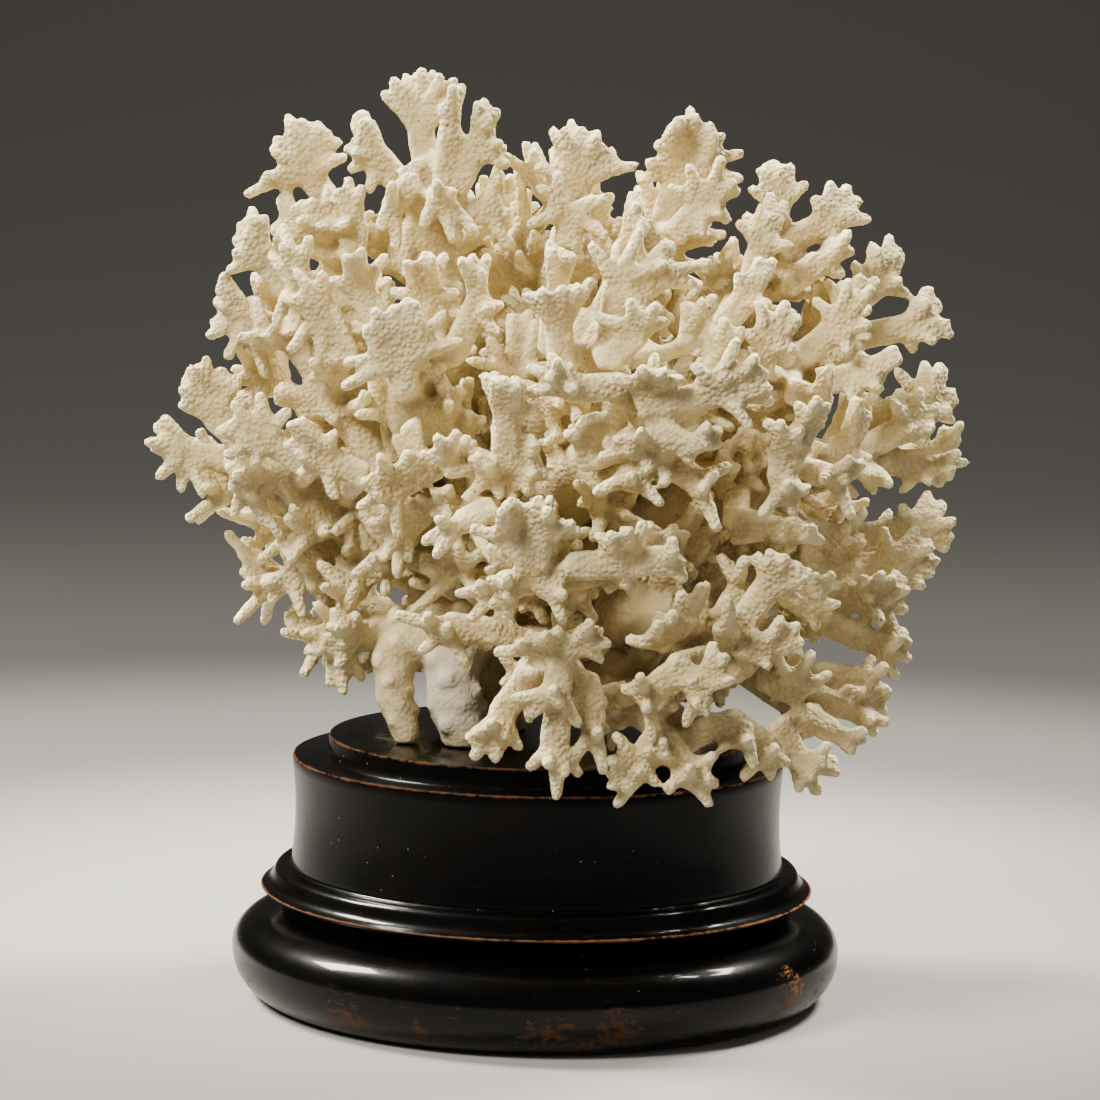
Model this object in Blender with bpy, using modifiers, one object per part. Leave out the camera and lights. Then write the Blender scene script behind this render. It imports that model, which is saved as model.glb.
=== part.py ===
"""A branching coral on a turned, ebonised wooden stand.

Metres, +Z up. The origin is the centre of the stand's flat underside, and the
front of the piece faces -Y. Design values are in millimetres and are scaled once.
"""

import math

import bmesh
import bpy
from mathutils import Matrix, Vector

MM = 0.001

# Stand, turned about Z. A step or a bevel is (radial, vertical).
FOOT_RADIUS = 57.0
FOOT_HEIGHT = 15.6
FOOT_ARC_END = 80.0
FOOT_ARC_STEPS = 6
FOOT_INSET = 1.5
FILLET_RADIUS = 47.6
FILLET_HEIGHT = 1.6
COLLAR_RADIUS = 51.7
COLLAR_EDGE_HEIGHT = 20.5
COLLAR_BEVEL = (0.6, 1.2)
COLLAR_SHOULDER = (2.2, 3.0)
COLLAR_STEP = (0.6, 1.4)
COLLAR_LEDGE = 0.4
COLLAR_TOP = 25.6
DRUM_RADIUS = 46.0
DRUM_WAIST = 45.4
DRUM_TOP = 45.05
DISC_RADIUS = 39.3
DISC_TOP = 48.8
DISC_ROUNDING = (0.5, 0.6)
DISC_FLARE = (0.6, 1.2)
STAND_SIDES = 40

# Gap between pieces that touch in the real object.
SEAM = 0.3

# Growth of the coral.
TIP_RADIUS = 1.4
FINGER_RADIUS = 2.05
STEM_RADIUS = 1.9
STEM_HALF_WIDTH = 1.9
BLADE_FLATNESS = 0.52
BLADE_WIDTH = 0.62
WEB_RADIUS = 1.4
WEB_CUT = 0.18
LEAST_WEB = 0.15
WIDEST_WEB = 100.0
BOW = 0.08
TIP_LEAN = 1.0
TIP_WOBBLE = 1.4
STALK_STEP = 0.35
SHORTEST_STALK = 0.5
SLANTED_RUN = 9.0
SLANTED_BLADE = (0.6, 0.25, 0.75)
UPRIGHT_BLADE = (1.0, 0.0, 0.0)
SPRAY_ANGLE = 250.0
SPRAY_WEB = 0.6
SPRAY_HUB = 0.45
SPRAY_WIDTH = 0.8
SPRAY_DEPTH = 0.55
SPRAY_TURN = 0.16
SPRAY_UNEVENNESS = 0.18
CORE = (-4.0, 0.0, 86.0)
GOLDEN_TURN = 2.39996
EYE = (0.0, -667.4, 156.1)

# Skin of the coral.
VOXEL = 1.0
VOXEL_STEP = 0.02
TRIANGLES_PER_MM2 = 0.072
TRIANGLES_STEP = 0.1
WELD = 0.0005
MOST_ATTEMPTS = 12
MOST_OVERLAP = 0.005
CLEARANCE = 1.0

# Limbs: name, node, points of the axis as (x, y, z, radius).
LIMBS = (
    ("trunk", "coral_base", ((-15, -2, 54, 6), (-12, -2, 64, 8), (-7, -1, 78, 10.5), (-4, 0, 90, 10.5))),
    ("left_foot", "coral_base", ((-24.4, -13.5, 50.5, 2.6), (-26.8, -12.5, 58, 3.6), (-27, -11, 65, 4.2),
                                 (-18, -7, 70, 6.5))),
    ("front_foot", "coral_base", ((-13.6, -15.2, 51, 4.4), (-16, -14.5, 58, 5), (-16, -12, 65, 5.2),
                                  (-12, -7, 71, 7))),
    ("back_foot", "coral_base", ((-9, 6, 51, 7), (-10, 2, 62, 9))),
    ("crown", "coral_crown", ((-8, 2, 90, 7), (-15, 6, 108, 6.5), (-20, 4, 128, 6), (-21, 0, 147, 5))),
    ("upper_left", "coral_upper_left", ((-12, 4, 86, 6.5), (-27, 8, 106, 6), (-36, 7, 126, 5), (-39, 5, 141, 4))),
    ("left", "coral_left", ((-12, -3, 86, 6.5), (-28, -8, 101, 6), (-38, -8, 115, 5.2), (-45, -7, 124, 4.5))),
    ("left_arm", "coral_left_arm", ((-12, 0, 80, 6.5), (-30, -1, 90, 6), (-45, -3, 96, 5), (-56, -2, 101, 4))),
    ("left_stub", "coral_left_arm", ((-28, 0, 88, 5), (-37, 2, 85.5, 4.4), (-42, 2, 82, 3.8))),
    ("low_left", "coral_low_left", ((-18, -7, 66, 6), (-27, -8, 69, 5), (-33, -8, 69, 4))),
    ("front_left", "coral_front_left", ((-8, -8, 90, 6.5), (-16, -20, 98, 6), (-23, -23, 110, 5), (-25, -21, 121, 4.2))),
    ("front", "coral_front", ((-4, -9, 82, 7), (-3, -28, 85, 6), (3, -43, 83, 5))),
    ("centre", "coral_centre", ((2, -8, 92, 7), (10, -24, 102, 6.5), (20, -40, 108, 5.2))),
    ("upper_front", "coral_upper_front", ((-1, -6, 98, 6.5), (5, -18, 113, 6), (9, -26, 127, 4.6))),
    ("top", "coral_top", ((-3, 3, 98, 6.5), (1, 5, 120, 5.5), (5, -2, 142, 4.2))),
    ("top_right", "coral_top_right", ((2, 5, 95, 6.5), (12, 6, 118, 5.8), (21, 1, 142, 4.6))),
    ("upper_right", "coral_upper_right", ((5, 5, 90, 6.5), (25, 8, 114, 6), (38, 4, 134, 4.8), (45, 1, 140, 4))),
    ("right_top", "coral_right_top", ((6, 1, 90, 6.5), (30, 0, 108, 6), (48, -2, 119, 5), (56, -2, 125, 4))),
    ("right", "coral_right", ((6, -1, 86, 6.5), (30, -6, 96, 6), (50, -8, 101, 5), (62, -5, 104, 4))),
    ("right_low", "coral_right_low", ((6, -2, 80, 6.5), (28, -8, 82, 6), (46, -13, 80, 5), (57, -14, 80, 4))),
    ("right_fringe", "coral_right_low", ((20, -5, 80, 5), (34, -14, 68, 5), (46, -22, 61, 4.4), (51, -26, 57, 3.8))),
    ("front_right", "coral_front_right", ((2, -9, 78, 6.5), (16, -24, 75, 6), (30, -36, 72, 5), (36, -40, 68, 4.2))),
    ("front_low", "coral_front_low", ((-6, -8, 72, 6.5), (0, -26, 70, 5.6), (4, -44, 65, 4.4))),
    ("low_fringe", "coral_low_fringe", ((2, -12, 68, 6), (13, -27, 63, 5.4), (22, -40, 58, 4.6), (24, -44, 54, 4))),
    ("back_left", "coral_back_left", ((-11, 8, 84, 6.5), (-25, 22, 96, 6), (-37, 33, 106, 4.6))),
    ("back_left_low", "coral_back_left", ((-20, 16, 92, 5), (-34, 26, 86, 4.6), (-42, 30, 80, 4))),
    ("back_right", "coral_back_right", ((4, 9, 86, 6.5), (22, 24, 98, 6), (38, 34, 106, 4.6))),
    ("back_right_low", "coral_back_right", ((14, 16, 92, 5), (34, 26, 88, 4.8), (48, 28, 84, 4))),
    ("back_top", "coral_back_top", ((-5, 8, 94, 6.5), (-5, 22, 114, 6), (-12, 26, 134, 4.6))),
    ("back_top_right", "coral_back_top", ((-5, 22, 112, 5), (12, 26, 122, 4.8), (24, 26, 134, 4))),
    ("back_low", "coral_back_low", ((-6, 9, 76, 6.5), (-4, 26, 72, 5.6), (2, 40, 68, 4.6))),
    ("back_low_left", "coral_back_low", ((-5, 18, 74, 4.8), (-18, 30, 67, 4.4), (-28, 36, 63, 4))),
    ("back_low_right", "coral_back_low", ((-4, 20, 73, 4.8), (16, 30, 67, 4.6), (32, 34, 63, 4))),
)

# Fronds as they are seen from the front: limb, depth, web, palm path, tips.
# A point is (x, z) on the plane y = 0; a tip may add how far it leans forward.
FRONDS = (
    ("crown", -4, 0.75, ((-22, 151), (-23.6, 160)),
     ((-30.3, 167.1), (-28.8, 169.6), (-23.7, 171.5), (-20.3, 170.4), (-17.8, 169.8), (-18.6, 165.7))),
    ("crown", -9, 0.5, ((-19, 152), (-18.2, 160)), ((-19.8, 165), (-16.4, 168.8))),
    ("crown", -9, 0.6, ((-17.5, 150), (-14, 156.5)),
     ((-12.1, 166.1), (-9.8, 164.3), (-10.6, 160.9), (-8.6, 157.7), (-7.9, 155))),
    ("crown", -2, 0.65, ((-26, 149), (-31, 155.5)),
     ((-32.7, 161.8), (-34.4, 162.1), (-35.6, 158.8), (-35.6, 156.4), (-36.2, 153.6), (-33, 150))),
    ("crown", -7, 0.85, ((-17, 146), (-12, 146)), ((-8.9, 152.9), (-7.6, 146), (-7.3, 140))),
    ("crown", -11, 0.6, ((-25, 151), (-28, 148)), ((-31, 143), (-27.9, 139.5))),
    ("crown", -15, 0.5, ((-20, 149),), ((-23, 143.6, 3), (-17.5, 141), (-13.6, 142.5, 2))),
    ("upper_left", 4, 0.65, ((-39, 146), (-44, 152)),
     ((-37.9, 155.7), (-39.1, 158.4), (-42.5, 160.8), (-47.2, 161), (-50.6, 156.4), (-52, 151.9), (-55.4, 148.7))),
    ("upper_left", 2, 0.7, ((-39, 138), (-44.5, 141)), ((-46.7, 146), (-49.4, 143.2), (-49.9, 140.3), (-50.6, 138.5))),
    ("upper_left", -2, 0.6, ((-36, 138), (-35.5, 143)), ((-39, 149), (-34.5, 150))),
    ("left", -7, 0.6, ((-45, 128), (-51.5, 136)),
     ((-52.4, 144), (-54.6, 143.8), (-55.6, 141), (-57.3, 137.8), (-58.3, 134.7))),
    ("left", -5, 0.7, ((-45, 122), (-54, 125.5)),
     ((-59.7, 133.1), (-60.5, 131), (-60, 128), (-61.3, 124.9), (-62.2, 122.4), (-58.8, 118.8), (-52, 115.5))),
    ("left", -13, 0.5, ((-43, 127), (-45.5, 133)), ((-50, 124.8), (-49, 139), (-44, 140.5))),
    ("left", -16, 0.6, ((-37, 119), (-40.5, 127)),
     ((-41.6, 134), (-46, 129.5), (-47, 120.1), (-41.2, 115.5))),
    ("left", -10, 0.8, ((-35, 109), (-41, 110)), ((-44.3, 113), (-49.5, 112.3), (-49.5, 110.4), (-44, 107.4), (-39, 107))),
    ("left", -22, 0.5, ((-33, 110),), ((-33.5, 111.9, 3),)),
    ("left_arm", -2, 0.6, ((-55, 102), (-61, 107)),
     ((-57, 113.3), (-60, 115.9), (-62.9, 117.8), (-65.7, 116), (-67.2, 112.2), (-67, 109.4))),
    ("left_arm", 0, 0.75, ((-58, 99), (-65, 101)),
     ((-70.3, 106.8), (-73.3, 102.4), (-71.4, 96.1), (-67.4, 93.9), (-63.4, 93))),
    ("left_arm", -5, 0.7, ((-47, 97), (-54.5, 95)), ((-57.5, 89.4), (-52.1, 88.2), (-49.2, 85.8))),
    ("left_arm", -13, 0.55, ((-43, 98), (-51, 103)),
     ((-47.8, 108.6), (-52.8, 111.2), (-60.3, 104.4), (-58.6, 100.2), (-53.8, 98.7))),
    ("left_arm", -19, 0.7, ((-34, 97), (-40, 100)), ((-39, 104.5), (-43.9, 106.2), (-46, 102.5), (-45, 97), (-39, 93))),
    ("left_stub", 2, 0.7, ((-46, 78.5),), ((-51.7, 76.3), (-50.2, 73.6), (-44.6, 70.8), (-42.5, 75.5))),
    ("left_stub", -3, 0.5, ((-36, 85),), ((-35.6, 78.5), (-31.5, 78))),
    ("low_left", -9, 0.75, ((-37, 68.3),),
     ((-34.4, 76.5), (-43.1, 67.4), (-43.3, 63.6), (-39.3, 57.7), (-36.6, 56.4), (-33.5, 59))),
    ("front_left", -20, 0.55, ((-29, 123), (-34, 130)), ((-30.1, 137.3), (-36.5, 137), (-39.5, 133))),
    ("front_left", -24, 0.55, ((-25, 122), (-22.5, 129)), ((-28.2, 131), (-24.2, 135.2), (-19.1, 137.7), (-17, 131))),
    ("front_left", -27, 0.5, ((-17, 120), (-13.2, 128)), ((-13.8, 137.5), (-11.2, 137.5), (-8.7, 129), (-9.5, 124))),
    ("front_left", -32, 0.8, ((-26, 113), (-26, 118)),
     ((-37, 113.4), (-36.6, 118), (-30, 124.4), (-25, 126), (-19, 127), (-16, 122))),
    ("front_left", -30, 0.6, ((-20, 99), (-27, 95)), ((-22, 100.8), (-26.2, 99), (-31.4, 96.6), (-33.9, 91), (-27, 86))),
    ("front_left", -24, 0.8, ((-20, 92), (-25, 88)), ((-32, 88), (-29.5, 81.5), (-24.8, 81.4), (-22.4, 88))),
    ("front_left", -42, 0.5, ((-12, 100), (-17.5, 99)), ((-20.8, 101.2, 2), (-18, 102.6), (-14.5, 104))),
    ("front", -47, 0.6, ((-10, 91), (-14.5, 88.8)), ((-21.8, 84.8, 3), (-19.6, 82.4, 3))),
    ("front", -54, 0.5, ((-1.5, 81), (-5.4, 85.2)), ((-12.8, 87.2), (-7, 91.6), (-4.8, 92))),
    ("front", -54, 0.5, ((-1.2, 81), (-0.6, 86.5)), ((-2.3, 91.6), (1.3, 92.8), (5.4, 88.4))),
    ("front", -53, 0.6, ((-1.5, 80), (-5.2, 76.6)), ((-9.5, 77.7), (-9.1, 73), (-6.4, 70.8))),
    ("front", -53, 0.5, ((-1, 80), (1.6, 76.4)), ((3.6, 77.7), (4, 70.5))),
    ("front", -53, 0.5, ((6, 80.6), (15.5, 81)), ((10.6, 86.3), (12.6, 85.8), (18.7, 88.6))),
    ("front", -53, 0.6, ((15.5, 80.8), (21.8, 82.2)), ((24.3, 84.4), (26, 81.7), (26.4, 78.8))),
    ("front", -50, 0.5, ((15.8, 80),), ((12.5, 76.5), (17.2, 75.4))),
    ("front", -42, 0.5, ((19, 83.5),), ((15.3, 87.4), (24.5, 88))),
    ("front", -46, 0.5, ((-7, 77),), ((-15.2, 75), (-12.8, 70.4, 2))),
    ("centre", -49, 0.7, ((20, 110), (18.6, 114)), ((12.8, 115.5), (20.3, 119.8), (25, 115.8, 4))),
    ("centre", -49, 0.6, ((22, 111), (32, 113.4)), ((28, 118.2), (33.6, 116.5), (41.3, 114.3), (41.6, 112), (38, 107.6))),
    ("centre", -43, 0.8, ((30, 114), (32.2, 119)), ((31, 125.4), (33.6, 124.8), (37, 120.6))),
    ("centre", -48, 0.7, ((21, 106), (20.5, 104)), ((13.4, 104.4), (11, 101.2), (15, 99))),
    ("centre", -49, 0.7, ((22, 106), (26, 103.6)), ((32.4, 106.6), (32.2, 103.8), (27.2, 100.6))),
    ("centre", -47, 0.4, ((14, 114.3), (5, 113.6)), ((-3.6, 112.8), (5, 113.6, 4), (-2.6, 117.4), (4.5, 117.8))),
    ("centre", -44, 0.6, ((23, 101), (28, 97)), ((34, 99.5), (29.2, 91.4), (32.3, 88.4, 3))),
    ("centre", -47, 0.5, ((16, 97.5),), ((10.1, 94.6, 2), (21.8, 92.8, 2))),
    ("centre", -42, 0.65, ((9, 100), (8, 103)), ((4.4, 105.3), (5.7, 108.4), (9.6, 108.8), (11.9, 107.3))),
    ("front_left", -47, 0.7, ((-7, 99), (-7.2, 106.5)),
     ((-11.2, 115.6), (-9.3, 116), (-5.6, 115), (-4.2, 114.2), (-1.8, 110.8))),
    ("front_left", -45, 0.85, ((-8, 98.5), (-4, 99.5)), ((-2.4, 104.3), (1.9, 97), (-3, 94.5))),
    ("front_left", -45, 0.7, ((-9, 98.5),), ((-13.3, 100.2), (-14, 93), (-8, 93.5))),
    ("upper_front", -38, 0.8, ((12, 124), (13, 132.5)), ((8.3, 140.1), (21, 137), (29.6, 137.2), (27, 133.5), (19, 127))),
    ("upper_front", -32, 0.8, ((13.5, 134), (14.5, 140)), ((15.4, 149.3), (18, 144), (19, 137))),
    ("upper_front", -36, 0.8, ((1, 121), (1.5, 130)), ((0.5, 140.2), (2.8, 138.8), (4.6, 138))),
    ("upper_front", -41, 0.5, ((3, 118), (2.4, 124.5)), ((-3.6, 130.8), (-0.9, 131.2), (6, 130.4), (8.2, 133.5))),
    ("upper_front", -44, 0.6, ((12, 119), (16.6, 124)), ((20.4, 129), (21.8, 126.4), (9.8, 127))),
    ("upper_front", -38, 0.4, ((20, 120), (25.8, 121.8)), ((25.9, 129.6), (30.6, 131))),
    ("top", -8, 0.7, ((5.5, 144), (5.3, 151.5)),
     ((-1.8, 154.4), (0.7, 161), (2.8, 161), (8.6, 160), (9.9, 158), (11.9, 156.3), (15.6, 155))),
    ("top", -12, 0.75, ((4, 141), (4, 146)), ((-1.4, 150.6), (-3.2, 144), (8, 148.5), (10.5, 142))),
    ("top", 4, 0.4, ((1, 136), (-3.6, 138)), ((-5.5, 153.6), (-6.2, 147.4), (-5.6, 141))),
    ("top_right", -4, 0.65, ((22, 147), (24.5, 154)),
     ((17, 152.4), (18.6, 155.6), (20.1, 159), (22.3, 160.3), (25.9, 165.2), (29, 161.6), (31.6, 160.6),
      (35.1, 157.6), (35, 153))),
    ("top_right", -11, 0.8, ((24, 143), (28.5, 148)), ((22.5, 151), (27.5, 152.5), (34.6, 150.6), (33, 145.5), (28.3, 142.8))),
    ("upper_right", 0, 0.65, ((39.5, 139), (42, 147)), ((37.9, 151), (39.2, 154.5), (42.7, 155), (47.1, 152))),
    ("upper_right", 0, 0.7, ((45, 142), (50.5, 144.6)), ((49.2, 149.4), (52, 148.2), (56.2, 147.2), (58.9, 146), (54.4, 141.2))),
    ("upper_right", -10, 0.8, ((38, 135), (39.4, 140)), ((35.6, 144.6), (40.6, 146), (44.5, 141))),
    ("upper_right", -5, 0.7, ((45, 134), (50, 137.6)), ((54.3, 141.2), (56, 140), (54.4, 135.7))),
    ("upper_right", -26, 0.5, ((33, 126), (36, 130)), ((35.5, 135), (39.9, 135.5), (41, 130))),
    ("right_top", 0, 0.7, ((54, 128), (60, 133)), ((56.9, 137.4), (61.2, 140.2), (64, 139), (65, 134.6), (66.2, 132.6))),
    ("right_top", -1, 0.7, ((57, 124), (66, 126)),
     ((68.6, 130.9), (70.5, 130.6), (71.7, 128.4), (74, 127), (74.7, 125.1), (71.8, 123.8), (68, 122.3))),
    ("right_top", -17, 0.75, ((48, 121), (54, 126)), ((50, 130.6), (56.5, 130.2), (58.6, 126), (56, 121.5))),
    ("right_top", -32, 0.6, ((46, 114), (51.8, 111.6)), ((50.4, 114.6), (51.2, 117.8))),
    ("right_top", -16, 0.7, ((53, 116), (58, 117.4)), ((58.5, 121), (62.2, 116.6), (61.9, 114.6), (57, 113))),
    ("right_top", -40, 0.6, ((40, 118), (40.5, 122)), ((37, 124.6), (41, 126.6), (44.3, 124.2), (46, 121.6))),
    ("right", -1, 0.75, ((62, 109), (69.5, 111)),
     ((65.4, 118), (72.5, 117.8), (72.2, 115.2), (73.8, 112.4), (74.9, 110.8), (75.5, 109.2))),
    ("right", 4, 0.5, ((68, 102.5), (73, 102.6)), ((74.2, 107.3), (76.7, 105.3))),
    ("right", -4, 0.75, ((61, 101), (70, 101)), ((78.2, 101.2), (75.6, 98.8), (73.6, 97.2), (67, 96))),
    ("right", -10, 0.85, ((60, 104), (66.5, 107)), ((65, 112), (70.5, 110), (71.9, 107.6), (71, 104.6))),
    ("right", -26, 0.5, ((52, 99), (55.3, 101.4)), ((50.5, 104), (58.3, 112.2), (60.3, 101.8))),
    ("right", -46, 0.7, ((44.5, 99), (44.2, 102.6)), ((41.6, 107.9), (45.2, 105.8), (47.4, 104))),
    ("right", -46, 0.7, ((46, 102), (48, 106.6)), ((47.1, 111.5), (49.9, 110.3), (51.2, 108))),
    ("right", -45, 0.8, ((44, 99), (45, 96.5)), ((41, 91.2), (46.6, 91.6), (48.6, 95.4))),
    ("right", -38, 0.5, ((50, 99), (53, 98.4)), ((52, 97.6, 4), (56.1, 97.6, 4), (57.3, 91))),
    ("right", -20, 0.5, ((62, 98),), ((64.3, 97.1, 4),)),
    ("right", -33, 0.8, ((36, 90), (44, 88)), ((36, 86), (46, 84.5), (51.8, 86.2), (47, 90))),
    ("right_low", -5, 0.7, ((58, 87), (67.5, 88.4)),
     ((67, 92.6), (72.4, 91.4), (76.3, 90.2), (75.8, 87.4), (75, 85.2))),
    ("right_low", -14, 0.5, ((50, 88), (53.6, 87.2)), ((56.5, 88.4), (56.9, 86))),
    ("right_low", -12, 0.7, ((57, 81), (64, 82)),
     ((63.7, 88.2), (72.3, 85.2), (73.5, 82.8), (72.5, 80.4), (70.9, 78))),
    ("right_low", -17, 0.75, ((54, 76), (61, 75)), ((66, 80), (68, 77.2), (67.6, 73.4), (65.6, 71.2))),
    ("right_low", -19, 0.7, ((53, 71), (61, 67.6)), ((66.2, 69.6), (68.6, 67.6), (68.6, 64.4), (66.4, 61))),
    ("right_low", -30, 0.8, ((46, 76), (49.5, 74)), ((50.8, 79.5), (51.6, 76), (51.4, 70))),
    ("right_fringe", -24, 0.7, ((53, 61), (59, 60)), ((62, 64), (65, 57.4), (64.4, 54.4))),
    ("right_fringe", -28, 0.6, ((52, 57), (58, 54.6)), ((64.7, 52.2), (62.6, 50.2))),
    ("right_fringe", -33, 0.6, ((50, 53), (54.5, 50.6)), ((60.7, 48.8), (58.8, 46.6))),
    ("right_fringe", -40, 0.75, ((45, 51), (48, 45.4)), ((55.4, 44.8), (55.8, 42.4), (52.4, 38.8), (49, 39.4))),
    ("right_fringe", -38, 0.8, ((42, 60), (46, 58)), ((44, 65), (52, 60), (50, 53))),
    ("front_right", -49, 0.7, ((34.6, 69.5),), ((34.8, 75, 3),)),
    ("front_right", -40, 0.5, ((35, 73), (37, 76)), ((33.4, 82.6), (35.5, 81))),
    ("front_right", -45, 0.5, ((38.6, 72), (42, 77)), ((40.3, 83), (43.2, 82.4), (46, 81.2), (49.6, 80), (48, 75))),
    ("front_right", -46, 0.75, ((37.6, 66), (41.5, 65)), ((40, 68.6), (43.4, 68.4), (46.6, 67.4), (42.5, 62.4, 3))),
    ("front_right", -46, 0.5, ((25, 69), (27.5, 72)), ((27, 74.2), (30.7, 77.2))),
    ("front_right", -48, 0.55, ((24, 70), (22, 66.5)), ((16.7, 66.8), (21.8, 71.7), (25.3, 69.8))),
    ("front_right", -52, 0.6, ((25, 62), (29.6, 58.6)), ((32.3, 66.1), (34, 62.2), (31.4, 55.6), (27.6, 51.6), (28.4, 59, 4))),
    ("front_right", -52, 0.55, ((24, 60), (20.2, 56.4)), ((15.8, 57.6), (18.2, 58.8), (21.2, 48.4))),
    ("front_low", -53, 0.55, ((3.6, 64.6), (-0.6, 65.6)), ((-7.8, 64.1), (-1.9, 67.7), (3.4, 68.2))),
    ("front_low", -53, 0.6, ((4, 64.6), (7.6, 66.6)), ((8.2, 69), (10.9, 68.6), (11.2, 63.2))),
    ("front_low", -53, 0.5, ((3.6, 63), (3.4, 57.4)), ((-4.7, 55.4), (7.2, 51), (-1.1, 52.8))),
    ("front_low", -51.5, 0.65, ((3.8, 55), (3, 47.6)), ((-1.4, 42.8), (3.5, 37.2), (7.4, 41.6))),
    ("front_low", -49, 0.5, ((8.6, 59), (10, 51.5)), ((7.6, 45.6), (12.3, 42.2))),
    ("front_low", -47, 0.85, ((-2, 60), (-7, 52.5)), ((-13, 48), (-12, 44.4), (-8, 44), (-3.8, 46.4))),
    ("front_low", -32, 0.7, ((-9, 68), (-17, 69)), ((-26.4, 70.8), (-22, 64.2), (-14, 62))),
    ("low_fringe", -48, 0.75, ((23, 50), (19, 43.6)), ((14.6, 48.6), (13.4, 41.6), (15, 35.9), (22, 40))),
    ("low_fringe", -49, 0.8, ((24, 48), (27.5, 43)), ((24.5, 38.8), (32.1, 36.2), (33.2, 40), (32.6, 45))),
    ("low_fringe", -46, 0.6, ((32, 51), (38.6, 49.6)), ((34.6, 47), (40.2, 43.8))),
    ("low_fringe", -42, 0.8, ((36, 52), (42.6, 47)), ((38.6, 41.6), (43.6, 41.6), (46, 46))),
)

# Sprays set by rule: node names they may grow from, number, share of the full size, side (-1 front, 1 back),
# fingers in each, reach.
SPRAYS = (
    (("coral_back",), 34, 1.0, 1, 6, 14.5),
    (("coral_front", "coral_centre", "coral_upper_front", "coral_low_fringe", "coral_left", "coral_right",
      "coral_top", "coral_crown", "coral_upper"), 26, 0.6, -1, 5, 12.5),
)
SPREAD_CENTRE = (2.0, 0.0, 88.0)
SPREAD_RADII = (66.0, 50.0, 66.0)
SPREAD_DOWN = 30.0

IVORY = (0.72, 0.64, 0.50, 1.0)
EBONY = (0.012, 0.010, 0.009, 1.0)


def clear_scene():
    for obj in list(bpy.data.objects):
        bpy.data.objects.remove(obj, do_unlink=True)


def new_collection(name):
    made = bpy.data.collections.new(name)
    bpy.context.scene.collection.children.link(made)
    return made


def new_material(name, colour, roughness):
    material = bpy.data.materials.new(name)
    material.use_nodes = True
    shader = material.node_tree.nodes["Principled BSDF"]
    shader.inputs["Base Color"].default_value = colour
    shader.inputs["Roughness"].default_value = roughness
    shader.inputs["Metallic"].default_value = 0.0
    material.diffuse_color = colour
    return material


def arc(centre, radius, start, end, steps):
    """Points of an arc in the (r, z) plane, with angles in degrees."""
    for step in range(steps + 1):
        angle = math.radians(start + (end - start) * step / steps)
        yield centre[0] + radius * math.cos(angle), centre[1] + radius * math.sin(angle)


def turned(name, profile, collection, material):
    """A solid of revolution from an (r, z) profile that runs top to bottom."""
    mesh = bpy.data.meshes.new(name)
    points = [(r * MM, 0.0, z * MM) for r, z in profile]
    mesh.from_pydata(points, [(i, i + 1) for i in range(len(points) - 1)], [])
    obj = bpy.data.objects.new(name, mesh)
    collection.objects.link(obj)
    screw = obj.modifiers.new("Turn", "SCREW")
    screw.steps = STAND_SIDES
    screw.render_steps = STAND_SIDES
    screw.use_merge_vertices = True
    screw.merge_threshold = 0.00001
    mesh.materials.append(material)
    return obj


def make_stand(collection):
    lacquer = new_material("ebonised_wood", EBONY, 0.25)
    half = FOOT_HEIGHT / 2
    neck = DRUM_RADIUS + COLLAR_LEDGE
    foot = [(0, COLLAR_TOP), (neck, COLLAR_TOP), (neck + COLLAR_STEP[0], COLLAR_TOP - COLLAR_STEP[1])]
    foot += [(COLLAR_RADIUS - COLLAR_SHOULDER[0], COLLAR_EDGE_HEIGHT + COLLAR_SHOULDER[1])]
    foot += [(COLLAR_RADIUS, COLLAR_EDGE_HEIGHT)]
    foot += [(COLLAR_RADIUS - COLLAR_BEVEL[0], COLLAR_EDGE_HEIGHT - COLLAR_BEVEL[1])]
    foot += [(FILLET_RADIUS, FOOT_HEIGHT + FILLET_HEIGHT), (FILLET_RADIUS, FOOT_HEIGHT)]
    foot += list(arc((FOOT_RADIUS - half, half), half, FOOT_ARC_END, -FOOT_ARC_END, FOOT_ARC_STEPS))
    foot += [(FOOT_RADIUS - half - FOOT_INSET, 0), (0, 0)]
    turned("stand_foot", foot, collection, lacquer)
    drum_foot = COLLAR_TOP + SEAM
    drum = [(0, DRUM_TOP), (DRUM_RADIUS, DRUM_TOP), (DRUM_WAIST, (DRUM_TOP + drum_foot) / 2)]
    drum += [(DRUM_RADIUS, drum_foot), (0, drum_foot)]
    turned("stand_drum", drum, collection, lacquer)
    disc_foot = DRUM_TOP + SEAM
    disc = [(0, DISC_TOP), (DISC_RADIUS - DISC_ROUNDING[0], DISC_TOP), (DISC_RADIUS, DISC_TOP - DISC_ROUNDING[1])]
    disc += [(DISC_RADIUS, disc_foot + DISC_FLARE[1]), (DISC_RADIUS + DISC_FLARE[0], disc_foot), (0, disc_foot)]
    turned("stand_top_disc", disc, collection, lacquer)


def seen(x, z, y):
    """The point at depth y that the front view shows at (x, z) of the plane y = 0."""
    eye = Vector(EYE)
    return eye + (Vector((x, 0.0, z)) - eye) * ((y - eye.y) / -eye.y)


def nearest_on(axis, point):
    """The point of a limb's axis nearest to the given point."""
    spots = []
    for a, b in zip(axis, axis[1:]):
        start = Vector(a[:3])
        run = Vector(b[:3]) - start
        share = min(1.0, max(0.0, (point - start).dot(run) / run.length_squared))
        spots.append(start + run * share)
    return min(spots, key=lambda spot: (point - spot).length)


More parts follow.
